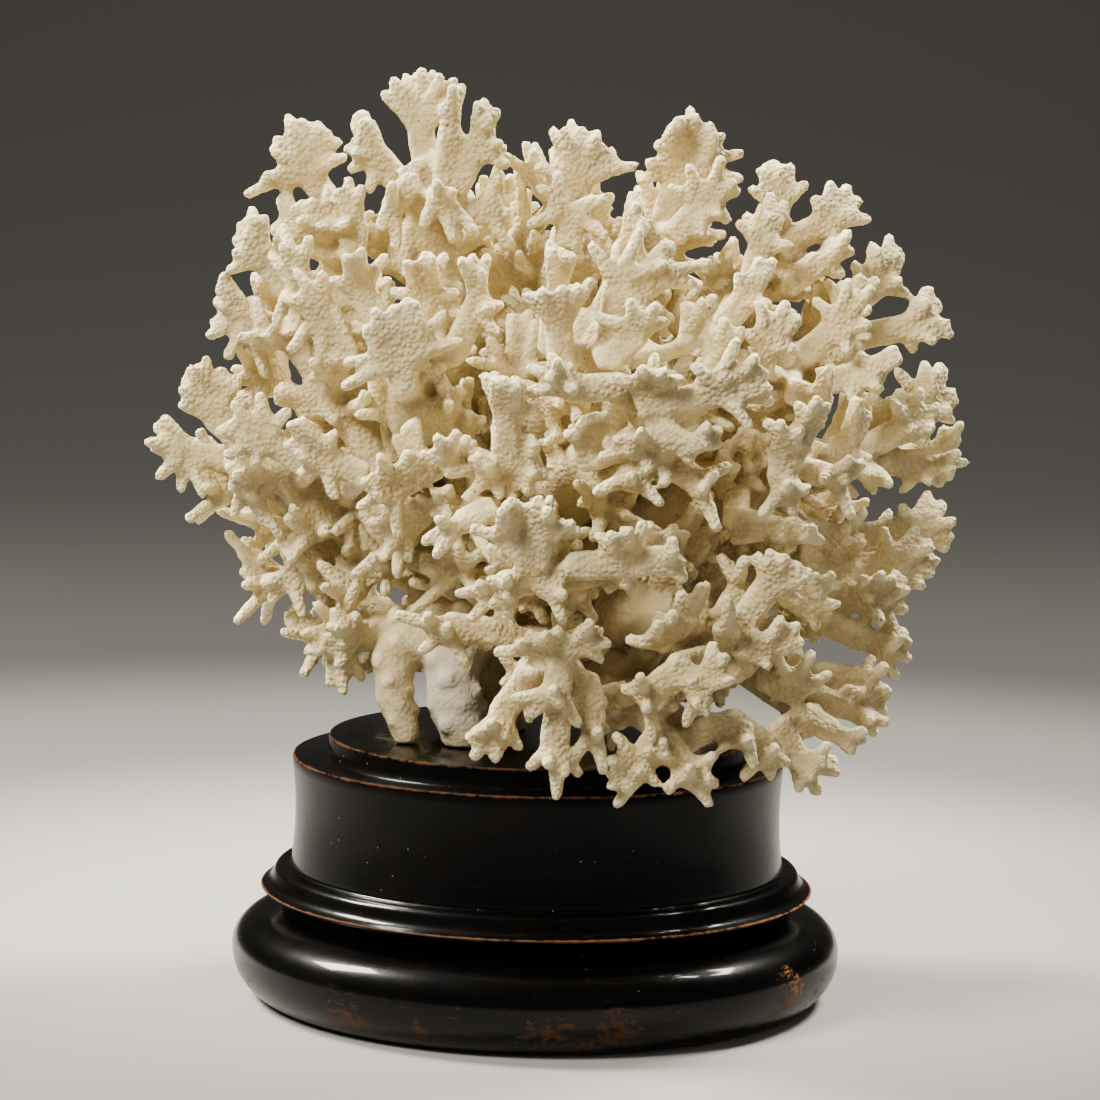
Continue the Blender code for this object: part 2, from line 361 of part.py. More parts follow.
def finger(root, tip):
    """A tapering finger that bows a little away from the coral's core."""
    middle = (root + tip) / 2
    middle += (middle - Vector(CORE)).normalized() * (tip - root).length * BOW
    bend = (FINGER_RADIUS + TIP_RADIUS) / 2
    yield (root, FINGER_RADIUS), (middle, bend)
    yield (middle, bend), (tip, TIP_RADIUS)


def fan(palm, tips, web):
    """Fingers from one palm, with webs between neighbours."""
    share = max(LEAST_WEB, web - WEB_CUT)
    for tip in tips:
        yield from finger(palm, tip)
    for one, other in zip(tips, tips[1:]):
        if (one - palm).angle(other - palm, 0.0) < math.radians(WIDEST_WEB):
            first = palm + (one - palm) * share
            second = palm + (other - palm) * share
            yield (palm, WEB_RADIUS), (first, WEB_RADIUS), (second, WEB_RADIUS)


def plank(start, end, across, half_width, radius):
    """A flattened stretch of branch between two points."""
    shift = across * half_width
    return (start - shift, radius), (start + shift, radius), (end - shift, radius), (end + shift, radius)


def across_of(direction, hint):
    """A unit vector square to the direction, as near to the hint as it can be."""
    square = hint - direction * hint.dot(direction) / direction.length_squared
    return square.normalized() if square.length > 1e-3 else direction.orthogonal().normalized()


def stem(axis, path, hint):
    """The flattened stalk from a limb to a palm."""
    spot = nearest_on(axis, path[0])
    for point in path:
        if (point - spot).length > SHORTEST_STALK:
            yield plank(spot, point, across_of(point - spot, hint), STEM_HALF_WIDTH, STEM_RADIUS)
        spot = point


def front_frond(axis, depth, web, path, tips):
    points = [seen(x, z, depth + STALK_STEP * (len(path) - 1 - i)) for i, (x, z) in enumerate(path)]
    ends = []
    for tip in tips:
        lean = tip[2] if len(tip) > 2 else TIP_LEAN
        wobble = TIP_WOBBLE * math.sin(1.7 * tip[0] + 2.3 * tip[1])
        ends.append(seen(tip[0], tip[1], depth - lean + wobble))
    yield from stem(axis, points, Vector(UPRIGHT_BLADE) if len(ends) == 1 else ends[-1] - ends[0])
    yield from fan(points[-1], ends, web)


def spray(axis, palm, count, reach):
    """A fan of fingers round a palm, spread across its outward direction."""
    outward = (palm - Vector(CORE)).normalized()
    side = outward.cross(Vector((0, 0, 1))).normalized()
    up = side.cross(outward)
    hub = palm - outward * reach * SPRAY_HUB
    ends = []
    for number in range(count):
        phase = palm.x * 0.7 + palm.z * 0.3 + number * 2.1
        turn = math.radians(SPRAY_ANGLE * (number / (count - 1) - 0.5)) + SPRAY_TURN * math.sin(phase)
        length = reach * (1 - SPRAY_UNEVENNESS * (1 - math.sin(1.9 * phase)))
        sideways = side * math.sin(turn) + up * math.cos(turn)
        ends.append(hub + sideways * length * SPRAY_WIDTH + outward * length * SPRAY_DEPTH)
    yield from stem(axis, [hub], side)
    yield from fan(hub, ends, SPRAY_WEB)


def spread_points(number, share, facing):
    """Points over half of an egg-shaped shell, by the golden angle."""
    for step in range(number):
        depth = (step + 0.5) / number
        ring = math.sqrt(1 - depth * depth)
        turn = step * GOLDEN_TURN
        high = ring * math.cos(turn)
        reach_z = SPREAD_RADII[2] if high > 0 else SPREAD_DOWN
        offset = Vector((SPREAD_RADII[0] * ring * math.sin(turn), facing * SPREAD_RADII[1] * depth, reach_z * high))
        yield Vector(SPREAD_CENTRE) + offset * share


def limb_near(point, prefixes):
    """The limb of the named nodes whose axis passes nearest to a point."""
    found = []
    for order, (_, node, axis) in enumerate(LIMBS):
        if node.startswith(prefixes):
            found.append(((nearest_on(axis, point) - point).length, order))
    return LIMBS[min(found)[1]]


def lumps_by_node():
    """Every node's shape as groups of spheres, each group standing for its convex hull."""
    nodes = {}
    axes = {}
    for name, node, axis in LIMBS:
        axes[name] = (node, axis)
        group = nodes.setdefault(node, [])
        for a, b in zip(axis, axis[1:]):
            start, end = Vector(a[:3]), Vector(b[:3])
            if node == "coral_base":
                group.append(((start, a[3]), (end, b[3])))
                continue
            hint = SLANTED_BLADE if abs(end.x - start.x) > SLANTED_RUN else UPRIGHT_BLADE
            across = across_of(end - start, Vector(hint))
            wide = BLADE_WIDTH * (a[3] + b[3]) / 2
            group.append(plank(start, end, across, wide, BLADE_FLATNESS * b[3]))
    for limb, depth, web, path, tips in FRONDS:
        node, axis = axes[limb]
        nodes[node] += front_frond(axis, depth, web, path, tips)
    for prefixes, number, share, facing, count, reach in SPRAYS:
        for palm in spread_points(number, share, facing):
            _, node, axis = limb_near(palm, prefixes)
            nodes[node] += spray(axis, palm, count, reach)
    return nodes


def ball_directions():
    """The corners of an icosahedron, as unit vectors."""
    ball = bmesh.new()
    bmesh.ops.create_icosphere(ball, subdivisions=1, radius=1.0)
    directions = [corner.co.copy() for corner in ball.verts]
    ball.free()
    return directions


def hull_of(spheres, directions, grow):
    """Corners and faces of the convex hull of a few spheres."""
    hull = bmesh.new()
    for centre, radius in spheres:
        for direction in directions:
            hull.verts.new((centre + direction * (radius + grow)) * MM)
    found = bmesh.ops.convex_hull(hull, input=hull.verts)
    inside = [item for item in found["geom_interior"] if isinstance(item, bmesh.types.BMVert)]
    bmesh.ops.delete(hull, geom=inside, context="VERTS")
    hull.verts.index_update()
    corners = [corner.co[:] for corner in hull.verts]
    faces = [[corner.index for corner in face.verts] for face in hull.faces]
    hull.free()
    return corners, faces


def joined_hulls(name, groups, grow=0.0):
    """One mesh of all the hulls, which overlap where they meet."""
    directions = ball_directions()
    corners = []
    faces = []
    for spheres in groups:
        more, their_faces = hull_of(spheres, directions, grow)
        faces += [[index + len(corners) for index in face] for face in their_faces]
        corners += more
    mesh = bpy.data.meshes.new(name)
    mesh.from_pydata(corners, [], faces)
    return mesh


def settle(obj):
    """Replaces the object's mesh and modifiers by the evaluated result."""
    graph = bpy.context.evaluated_depsgraph_get()
    mesh = bpy.data.meshes.new_from_object(obj.evaluated_get(graph))
    old = obj.data
    obj.modifiers.clear()
    obj.data = mesh
    bpy.data.meshes.remove(old)


def keep_largest(obj):
    """Drops every loose island but the largest."""
    shape = bmesh.new()
    shape.from_mesh(obj.data)
    left = set(shape.verts)
    islands = []
    while left:
        todo = [left.pop()]
        island = set(todo)
        while todo:
            for edge in todo.pop().link_edges:
                for corner in edge.verts:
                    if corner not in island:
                        island.add(corner)
                        todo.append(corner)
        left -= island
        islands.append(island)
    islands.sort(key=lambda island: (-len(island), min(corner.index for corner in island)))
    loose = [corner for island in islands[1:] for corner in island]
    bmesh.ops.delete(shape, geom=loose, context="VERTS")
    shape.to_mesh(obj.data)
    shape.free()


def add_remesh(obj, voxel):
    remesh = obj.modifiers.new("Fuse", "REMESH")
    remesh.mode = "VOXEL"
    remesh.voxel_size = voxel * MM


def add_thinning(obj, share):
    thin = obj.modifiers.new("Facet", "DECIMATE")
    thin.ratio = share
    thin.use_collapse_triangulate = True


def add_cut(obj, cutter):
    cut = obj.modifiers.new("Fork", "BOOLEAN")
    cut.operation = "DIFFERENCE"
    cut.solver = "MANIFOLD"
    cut.object = cutter


def area_of(mesh):
    return sum(face.area for face in mesh.polygons) / MM ** 2


def near(one, other):
    """Whether the boxes of two objects meet."""
    for axis in range(3):
        a = [corner.co[axis] for corner in one.data.vertices]
        b = [corner.co[axis] for corner in other.data.vertices]
        if min(a) > max(b) or min(b) > max(a):
            return False
    return True


def floor_cutter(collection):
    """A block whose top face cuts the coral off flat, just above the disc."""
    bpy.ops.mesh.primitive_cube_add(size=1.0)
    block = bpy.context.active_object
    block.name = "disc_clearance"
    top = DISC_TOP + SEAM
    block.data.transform(Matrix.Diagonal((2 * DISC_RADIUS * MM, 2 * DISC_RADIUS * MM, top * MM, 1.0)))
    block.data.transform(Matrix.Translation((0.0, 0.0, top * MM / 2)))
    for owner in list(block.users_collection):
        owner.objects.unlink(block)
    collection.objects.link(block)
    block.hide_render = True
    block.display_type = "WIRE"
    return block


def sound(mesh):
    """Whether every edge, once touching corners are welded, joins exactly two faces."""
    shape = bmesh.new()
    shape.from_mesh(mesh)
    bmesh.ops.remove_doubles(shape, verts=shape.verts, dist=WELD * MM)
    joined = all(len(edge.link_faces) == 2 for edge in shape.edges)
    shape.free()
    return joined


def recast(obj):
    """Turns the object's mesh into one dense closed skin, with a finer grid if the first has a flaw."""
    shape = obj.data.copy()
    for attempt in range(MOST_ATTEMPTS):
        obj.data = shape.copy()
        add_remesh(obj, VOXEL * (1 - VOXEL_STEP * attempt))
        settle(obj)
        keep_largest(obj)
        if sound(obj.data):
            break


def fused(name, groups, grow, collection):
    """One closed skin round all the hulls of a node, grown on every side."""
    obj = bpy.data.objects.new(name, joined_hulls(name, groups, grow))
    collection.objects.link(obj)
    recast(obj)
    return obj


def cut_clear(obj, guards):
    """Cuts the guards out of the object and keeps its main piece."""
    for guard in guards:
        if near(obj, guard):
            add_cut(obj, guard)
    settle(obj)
    keep_largest(obj)
    recast(obj)


def faceted(obj, finished, cutters):
    """Thins the skin to its share of faces, and trims it where it would touch a finished node."""
    dense = obj.data.copy()
    triangles = sum(len(face.vertices) - 2 for face in dense.polygons)
    share = TRIANGLES_PER_MM2 * area_of(dense) / triangles
    for attempt in range(MOST_ATTEMPTS):
        obj.data = dense.copy()
        add_thinning(obj, min(1.0, share * (1 + TRIANGLES_STEP * attempt)))
        settle(obj)
        keep_largest(obj)
        if sound(obj.data) and clear_of(obj, finished, cutters):
            return
        trim(obj, finished)
        if sound(obj.data) and clear_of(obj, finished, cutters):
            return


def trim(obj, blockers):
    """Cuts the blockers out of the object and leaves it in triangles."""
    for blocker in blockers:
        if near(obj, blocker):
            add_cut(obj, blocker)
    settle(obj)
    keep_largest(obj)
    shape = bmesh.new()
    shape.from_mesh(obj.data)
    bmesh.ops.triangulate(shape, faces=shape.faces)
    shape.to_mesh(obj.data)
    shape.free()


def overlap(one, other, collection):
    """The volume in cubic millimetres that two objects share."""
    probe = bpy.data.objects.new("probe", one.data.copy())
    collection.objects.link(probe)
    add_cut(probe, other)
    probe.modifiers[0].operation = "INTERSECT"
    settle(probe)
    shape = bmesh.new()
    shape.from_mesh(probe.data)
    volume = shape.calc_volume() / MM ** 3
    shape.free()
    bpy.data.objects.remove(probe)
    return volume


def clear_of(obj, blockers, cutters):
    close = [blocker for blocker in blockers if near(obj, blocker)]
    return all(overlap(obj, blocker, cutters) < MOST_OVERLAP for blocker in close)


def make_coral(collection, cutters):
    stone = new_material("bleached_coral", IVORY, 0.85)
    guards = []
    finished = [floor_cutter(cutters)]
    for name, groups in lumps_by_node().items():
        obj = fused(name, groups, 0.0, collection)
        cut_clear(obj, guards + finished)
        faceted(obj, finished, cutters)
        obj.data.materials.clear()
        obj.data.materials.append(stone)
        guard = fused(name + "_clearance", groups, CLEARANCE, cutters)
        guard.hide_render = True
        guard.display_type = "WIRE"
        guards.append(guard)
        finished.append(obj)


def main():
    clear_scene()
    stand = new_collection("coral_on_stand")
    cutters = new_collection("cutters")
    make_stand(stand)
    make_coral(stand, cutters)


main()
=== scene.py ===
"""The looks of a branching coral on a turned, ebonised wooden stand.

The coral is grown limb by limb: fans of fingers on flattened branches, each limb fused into one skin with the
corallites' relief on it. The stand is turned from its profile and lacquered, with its edges rubbed to brown.
Design values are in millimetres. +Z is up and the front faces -Y.
"""

import math
from functools import partialmethod

import bmesh
import bpy
import numpy as np
from mathutils import Matrix, Vector, kdtree

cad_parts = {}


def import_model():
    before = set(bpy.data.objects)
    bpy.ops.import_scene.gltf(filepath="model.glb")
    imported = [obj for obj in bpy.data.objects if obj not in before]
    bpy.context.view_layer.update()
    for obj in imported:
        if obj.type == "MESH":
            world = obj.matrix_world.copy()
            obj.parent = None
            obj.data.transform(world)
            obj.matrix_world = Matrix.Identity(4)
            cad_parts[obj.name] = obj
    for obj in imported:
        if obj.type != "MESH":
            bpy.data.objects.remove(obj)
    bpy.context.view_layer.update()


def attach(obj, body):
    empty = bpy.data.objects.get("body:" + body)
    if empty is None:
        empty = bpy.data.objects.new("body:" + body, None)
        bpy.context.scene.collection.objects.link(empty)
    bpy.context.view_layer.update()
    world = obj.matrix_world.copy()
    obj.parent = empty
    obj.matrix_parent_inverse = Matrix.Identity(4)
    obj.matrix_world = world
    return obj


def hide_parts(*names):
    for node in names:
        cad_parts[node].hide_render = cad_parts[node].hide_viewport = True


MM = 0.001

# Limbs: name, node, points of the axis as (x, y, z, radius).
LIMBS = (
    ("trunk", "coral_base", ((-15, -2, 54, 6), (-12, -2, 64, 8), (-7, -1, 78, 10.5), (-4, 0, 90, 10.5))),
    ("left_foot", "coral_base", ((-24.4, -13.5, 50.5, 2.6), (-26.8, -12.5, 58, 3.6), (-27, -11, 65, 4.2),
                                 (-18, -7, 70, 6.5))),
    ("front_foot", "coral_base", ((-13.6, -15.2, 51, 4.4), (-16, -14.5, 58, 5), (-16, -12, 65, 5.2),
                                  (-12, -7, 71, 7))),
    ("back_foot", "coral_base", ((-9, 6, 51, 7), (-10, 2, 62, 9))),
    ("crown", "coral_crown", ((-8, 2, 90, 7), (-15, 6, 108, 6.5), (-20, 4, 128, 6), (-21, 0, 147, 5))),
    ("upper_left", "coral_upper_left", ((-12, 4, 86, 6.5), (-27, 8, 106, 6), (-36, 7, 126, 5),
                                        (-39, 5, 141, 4))),
    ("left", "coral_left", ((-12, -3, 86, 6.5), (-28, -8, 101, 6), (-38, -8, 115, 5.2), (-45, -7, 124, 4.5))),
    ("left_arm", "coral_left_arm", ((-12, 0, 80, 6.5), (-30, -1, 90, 6), (-45, -3, 96, 5), (-56, -2, 101, 4))),
    ("left_stub", "coral_left_arm", ((-28, 0, 88, 5), (-37, 2, 85.5, 4.4), (-42, 2, 82, 3.8))),
    ("low_left", "coral_low_left", ((-18, -7, 66, 6), (-27, -8, 69, 5), (-33, -8, 69, 4))),
    ("front_left", "coral_front_left", ((-8, -8, 90, 6.5), (-16, -20, 98, 6), (-23, -23, 110, 5),
                                        (-25, -21, 121, 4.2))),
    ("front", "coral_front", ((-4, -9, 82, 7), (-3, -28, 85, 6), (3, -43, 83, 5))),
    ("centre", "coral_centre", ((2, -8, 92, 7), (10, -24, 102, 6.5), (20, -40, 108, 5.2))),
    ("upper_front", "coral_upper_front", ((-1, -6, 98, 6.5), (5, -18, 113, 6), (9, -26, 127, 4.6))),
    ("top", "coral_top", ((-3, 3, 98, 6.5), (1, 5, 120, 5.5), (5, -2, 142, 4.2))),
    ("top_right", "coral_top_right", ((2, 5, 95, 6.5), (12, 6, 118, 5.8), (21, 1, 142, 4.6))),
    ("upper_right", "coral_upper_right", ((5, 5, 90, 6.5), (25, 8, 114, 6), (38, 4, 134, 4.8),
                                          (45, 1, 140, 4))),
    ("right_top", "coral_right_top", ((6, 1, 90, 6.5), (30, 0, 108, 6), (48, -2, 119, 5), (56, -2, 125, 4))),
    ("right", "coral_right", ((6, -1, 86, 6.5), (30, -6, 96, 6), (50, -8, 101, 5), (62, -5, 104, 4))),
    ("right_low", "coral_right_low", ((6, -2, 80, 6.5), (28, -8, 82, 6), (46, -13, 80, 5), (57, -14, 80, 4))),
    ("right_fringe", "coral_right_low", ((20, -5, 80, 5), (34, -14, 68, 5), (46, -22, 61, 4.4),
                                         (51, -26, 57, 3.8))),
    ("front_right", "coral_front_right", ((2, -9, 78, 6.5), (16, -24, 75, 6), (30, -36, 72, 5),
                                          (36, -40, 68, 4.2))),
    ("front_low", "coral_front_low", ((-6, -8, 72, 6.5), (0, -26, 70, 5.6), (4, -44, 65, 4.4))),
    ("low_fringe", "coral_low_fringe", ((2, -12, 68, 6), (13, -27, 63, 5.4), (22, -40, 58, 4.6),
                                        (24, -44, 54, 4))),
    ("back_left", "coral_back_left", ((-11, 8, 84, 6.5), (-25, 22, 96, 6), (-37, 33, 106, 4.6))),
    ("back_left_low", "coral_back_left", ((-20, 16, 92, 5), (-34, 26, 86, 4.6), (-42, 30, 80, 4))),
    ("back_right", "coral_back_right", ((4, 9, 86, 6.5), (22, 24, 98, 6), (38, 34, 106, 4.6))),
    ("back_right_low", "coral_back_right", ((14, 16, 92, 5), (34, 26, 88, 4.8), (48, 28, 84, 4))),
    ("back_top", "coral_back_top", ((-5, 8, 94, 6.5), (-5, 22, 114, 6), (-12, 26, 134, 4.6))),
    ("back_top_right", "coral_back_top", ((-5, 22, 112, 5), (12, 26, 122, 4.8), (24, 26, 134, 4))),
    ("back_low", "coral_back_low", ((-6, 9, 76, 6.5), (-4, 26, 72, 5.6), (2, 40, 68, 4.6))),
    ("back_low_left", "coral_back_low", ((-5, 18, 74, 4.8), (-18, 30, 67, 4.4), (-28, 36, 63, 4))),
    ("back_low_right", "coral_back_low", ((-4, 20, 73, 4.8), (16, 30, 67, 4.6), (32, 34, 63, 4))),
)

# Fronds as they are seen from the front, limb by limb: depth, web, palm path, tips.
# A point is (x, z) on the plane y = 0; a tip may add how far it leans forward.
FRONDS = (
    ("crown", (
        (-4, 0.75, ((-22, 151), (-23.6, 160)),
         ((-30.3, 167.1), (-28.8, 169.6), (-23.7, 171.5), (-20.3, 170.4), (-17.8, 169.8), (-18.6, 165.7))),
        (-9, 0.5, ((-19, 152), (-18.2, 160)), ((-19.8, 165), (-16.4, 168.8))),
        (-9, 0.6, ((-17.5, 150), (-14, 156.5)),
         ((-12.1, 166.1), (-9.8, 164.3), (-10.6, 160.9), (-8.6, 157.7), (-7.9, 155))),
        (-2, 0.65, ((-26, 149), (-31, 155.5)),
         ((-32.7, 161.8), (-34.4, 162.1), (-35.6, 158.8), (-35.6, 156.4), (-36.2, 153.6), (-33, 150))),
        (-7, 0.85, ((-17, 146), (-12, 146)), ((-8.9, 152.9), (-7.6, 146), (-7.3, 140))),
        (-11, 0.6, ((-25, 151), (-28, 148)), ((-31, 143), (-27.9, 139.5))),
        (-15, 0.5, ((-20, 149),), ((-23, 143.6, 3), (-17.5, 141), (-13.6, 142.5, 2))),
    )),
    ("upper_left", (
        (4, 0.65, ((-39, 146), (-44, 152)),
         ((-37.9, 155.7), (-39.1, 158.4), (-42.5, 160.8), (-47.2, 161), (-50.6, 156.4), (-52, 151.9),
          (-55.4, 148.7))),
        (2, 0.7, ((-39, 138), (-44.5, 141)), ((-46.7, 146), (-49.4, 143.2), (-49.9, 140.3), (-50.6, 138.5))),
        (-2, 0.6, ((-36, 138), (-35.5, 143)), ((-39, 149), (-34.5, 150))),
    )),
    ("left", (
        (-7, 0.6, ((-45, 128), (-51.5, 136)),
         ((-52.4, 144), (-54.6, 143.8), (-55.6, 141), (-57.3, 137.8), (-58.3, 134.7))),
        (-5, 0.7, ((-45, 122), (-54, 125.5)),
         ((-59.7, 133.1), (-60.5, 131), (-60, 128), (-61.3, 124.9), (-62.2, 122.4), (-58.8, 118.8),
          (-52, 115.5))),
        (-13, 0.5, ((-43, 127), (-45.5, 133)), ((-50, 124.8), (-49, 139), (-44, 140.5))),
        (-16, 0.6, ((-37, 119), (-40.5, 127)), ((-41.6, 134), (-46, 129.5), (-47, 120.1), (-41.2, 115.5))),
        (-10, 0.8, ((-35, 109), (-41, 110)),
         ((-44.3, 113), (-49.5, 112.3), (-49.5, 110.4), (-44, 107.4), (-39, 107))),
        (-22, 0.5, ((-33, 110),), ((-33.5, 111.9, 3),)),
    )),
    ("left_arm", (
        (-2, 0.6, ((-55, 102), (-61, 107)),
         ((-57, 113.3), (-60, 115.9), (-62.9, 117.8), (-65.7, 116), (-67.2, 112.2), (-67, 109.4))),
        (0, 0.75, ((-58, 99), (-65, 101)),
         ((-70.3, 106.8), (-73.3, 102.4), (-71.4, 96.1), (-67.4, 93.9), (-63.4, 93))),
        (-5, 0.7, ((-47, 97), (-54.5, 95)), ((-57.5, 89.4), (-52.1, 88.2), (-49.2, 85.8))),
        (-13, 0.55, ((-43, 98), (-51, 103)),
         ((-47.8, 108.6), (-52.8, 111.2), (-60.3, 104.4), (-58.6, 100.2), (-53.8, 98.7))),
        (-19, 0.7, ((-34, 97), (-40, 100)), ((-39, 104.5), (-43.9, 106.2), (-46, 102.5), (-45, 97), (-39, 93))),
    )),
    ("left_stub", (
        (2, 0.7, ((-46, 78.5),), ((-51.7, 76.3), (-50.2, 73.6), (-44.6, 70.8), (-42.5, 75.5))),
        (-3, 0.5, ((-36, 85),), ((-35.6, 78.5), (-31.5, 78))),
    )),
    ("low_left", (
        (-9, 0.75, ((-37, 68.3),),
         ((-34.4, 76.5), (-43.1, 67.4), (-43.3, 63.6), (-39.3, 57.7), (-36.6, 56.4), (-33.5, 59))),
    )),
    ("front_left", (
        (-20, 0.55, ((-29, 123), (-34, 130)), ((-30.1, 137.3), (-36.5, 137), (-39.5, 133))),
        (-24, 0.55, ((-25, 122), (-22.5, 129)), ((-28.2, 131), (-24.2, 135.2), (-19.1, 137.7), (-17, 131))),
        (-27, 0.5, ((-17, 120), (-13.2, 128)), ((-13.8, 137.5), (-11.2, 137.5), (-8.7, 129), (-9.5, 124))),
        (-32, 0.8, ((-26, 113), (-26, 118)),
         ((-37, 113.4), (-36.6, 118), (-30, 124.4), (-25, 126), (-19, 127), (-16, 122))),
        (-30, 0.6, ((-20, 99), (-27, 95)), ((-22, 100.8), (-26.2, 99), (-31.4, 96.6), (-33.9, 91), (-27, 86))),
        (-24, 0.8, ((-20, 92), (-25, 88)), ((-32, 88), (-29.5, 81.5), (-24.8, 81.4), (-22.4, 88))),
        (-42, 0.5, ((-12, 100), (-17.5, 99)), ((-20.8, 101.2, 2), (-18, 102.6), (-14.5, 104))),
    )),
    ("front", (
        (-47, 0.6, ((-10, 91), (-14.5, 88.8)), ((-21.8, 84.8, 3), (-19.6, 82.4, 3))),
        (-54, 0.5, ((-1.5, 81), (-5.4, 85.2)), ((-12.8, 87.2), (-7, 91.6), (-4.8, 92))),
        (-54, 0.5, ((-1.2, 81), (-0.6, 86.5)), ((-2.3, 91.6), (1.3, 92.8), (5.4, 88.4))),
        (-53, 0.6, ((-1.5, 80), (-5.2, 76.6)), ((-9.5, 77.7), (-9.1, 73), (-6.4, 70.8))),
        (-53, 0.5, ((-1, 80), (1.6, 76.4)), ((3.6, 77.7), (4, 70.5))),
        (-53, 0.5, ((6, 80.6), (15.5, 81)), ((10.6, 86.3), (12.6, 85.8), (18.7, 88.6))),
        (-53, 0.6, ((15.5, 80.8), (21.8, 82.2)), ((24.3, 84.4), (26, 81.7), (26.4, 78.8))),
        (-50, 0.5, ((15.8, 80),), ((12.5, 76.5), (17.2, 75.4))),
        (-42, 0.5, ((19, 83.5),), ((15.3, 87.4), (24.5, 88))),
        (-46, 0.5, ((-7, 77),), ((-15.2, 75), (-12.8, 70.4, 2))),
    )),
    ("centre", (
        (-49, 0.7, ((20, 110), (18.6, 114)), ((12.8, 115.5), (20.3, 119.8), (25, 115.8, 4))),
        (-49, 0.6, ((22, 111), (32, 113.4)),
         ((28, 118.2), (33.6, 116.5), (41.3, 114.3), (41.6, 112), (38, 107.6))),
        (-43, 0.8, ((30, 114), (32.2, 119)), ((31, 125.4), (33.6, 124.8), (37, 120.6))),
        (-48, 0.7, ((21, 106), (20.5, 104)), ((13.4, 104.4), (11, 101.2), (15, 99))),
        (-49, 0.7, ((22, 106), (26, 103.6)), ((32.4, 106.6), (32.2, 103.8), (27.2, 100.6))),
        (-47, 0.4, ((14, 114.3), (5, 113.6)), ((-3.6, 112.8), (5, 113.6, 4), (-2.6, 117.4), (4.5, 117.8))),
        (-44, 0.6, ((23, 101), (28, 97)), ((34, 99.5), (29.2, 91.4), (32.3, 88.4, 3))),
        (-47, 0.5, ((16, 97.5),), ((10.1, 94.6, 2), (21.8, 92.8, 2))),
        (-42, 0.65, ((9, 100), (8, 103)), ((4.4, 105.3), (5.7, 108.4), (9.6, 108.8), (11.9, 107.3))),
    )),
    ("front_left", (
        (-47, 0.7, ((-7, 99), (-7.2, 106.5)),
         ((-11.2, 115.6), (-9.3, 116), (-5.6, 115), (-4.2, 114.2), (-1.8, 110.8))),
        (-45, 0.85, ((-8, 98.5), (-4, 99.5)), ((-2.4, 104.3), (1.9, 97), (-3, 94.5))),
        (-45, 0.7, ((-9, 98.5),), ((-13.3, 100.2), (-14, 93), (-8, 93.5))),
    )),
    ("upper_front", (
        (-38, 0.8, ((12, 124), (13, 132.5)), ((8.3, 140.1), (21, 137), (29.6, 137.2), (27, 133.5), (19, 127))),
        (-32, 0.8, ((13.5, 134), (14.5, 140)), ((15.4, 149.3), (18, 144), (19, 137))),
        (-36, 0.8, ((1, 121), (1.5, 130)), ((0.5, 140.2), (2.8, 138.8), (4.6, 138))),
        (-41, 0.5, ((3, 118), (2.4, 124.5)), ((-3.6, 130.8), (-0.9, 131.2), (6, 130.4), (8.2, 133.5))),
        (-44, 0.6, ((12, 119), (16.6, 124)), ((20.4, 129), (21.8, 126.4), (9.8, 127))),
        (-38, 0.4, ((20, 120), (25.8, 121.8)), ((25.9, 129.6), (30.6, 131))),
    )),
    ("top", (
        (-8, 0.7, ((5.5, 144), (5.3, 151.5)),
         ((-1.8, 154.4), (0.7, 161), (2.8, 161), (8.6, 160), (9.9, 158), (11.9, 156.3), (15.6, 155))),
        (-12, 0.75, ((4, 141), (4, 146)), ((-1.4, 150.6), (-3.2, 144), (8, 148.5), (10.5, 142))),
        (4, 0.4, ((1, 136), (-3.6, 138)), ((-5.5, 153.6), (-6.2, 147.4), (-5.6, 141))),
    )),
    ("top_right", (
        (-4, 0.65, ((22, 147), (24.5, 154)),
         ((17, 152.4), (18.6, 155.6), (20.1, 159), (22.3, 160.3), (25.9, 165.2), (29, 161.6), (31.6, 160.6),
          (35.1, 157.6), (35, 153))),
        (-11, 0.8, ((24, 143), (28.5, 148)),
         ((22.5, 151), (27.5, 152.5), (34.6, 150.6), (33, 145.5), (28.3, 142.8))),
    )),
    ("upper_right", (
        (0, 0.65, ((39.5, 139), (42, 147)), ((37.9, 151), (39.2, 154.5), (42.7, 155), (47.1, 152))),
        (0, 0.7, ((45, 142), (50.5, 144.6)),
         ((49.2, 149.4), (52, 148.2), (56.2, 147.2), (58.9, 146), (54.4, 141.2))),
        (-10, 0.8, ((38, 135), (39.4, 140)), ((35.6, 144.6), (40.6, 146), (44.5, 141))),
        (-5, 0.7, ((45, 134), (50, 137.6)), ((54.3, 141.2), (56, 140), (54.4, 135.7))),
        (-26, 0.5, ((33, 126), (36, 130)), ((35.5, 135), (39.9, 135.5), (41, 130))),
    )),
    ("right_top", (
        (0, 0.7, ((54, 128), (60, 133)), ((56.9, 137.4), (61.2, 140.2), (64, 139), (65, 134.6), (66.2, 132.6))),
        (-1, 0.7, ((57, 124), (66, 126)),
         ((68.6, 130.9), (70.5, 130.6), (71.7, 128.4), (74, 127), (74.7, 125.1), (71.8, 123.8), (68, 122.3))),
        (-17, 0.75, ((48, 121), (54, 126)), ((50, 130.6), (56.5, 130.2), (58.6, 126), (56, 121.5))),
        (-32, 0.6, ((46, 114), (51.8, 111.6)), ((50.4, 114.6), (51.2, 117.8))),
        (-16, 0.7, ((53, 116), (58, 117.4)), ((58.5, 121), (62.2, 116.6), (61.9, 114.6), (57, 113))),
        (-40, 0.6, ((40, 118), (40.5, 122)), ((37, 124.6), (41, 126.6), (44.3, 124.2), (46, 121.6))),
    )),
    ("right", (
        (-1, 0.75, ((62, 109), (69.5, 111)),
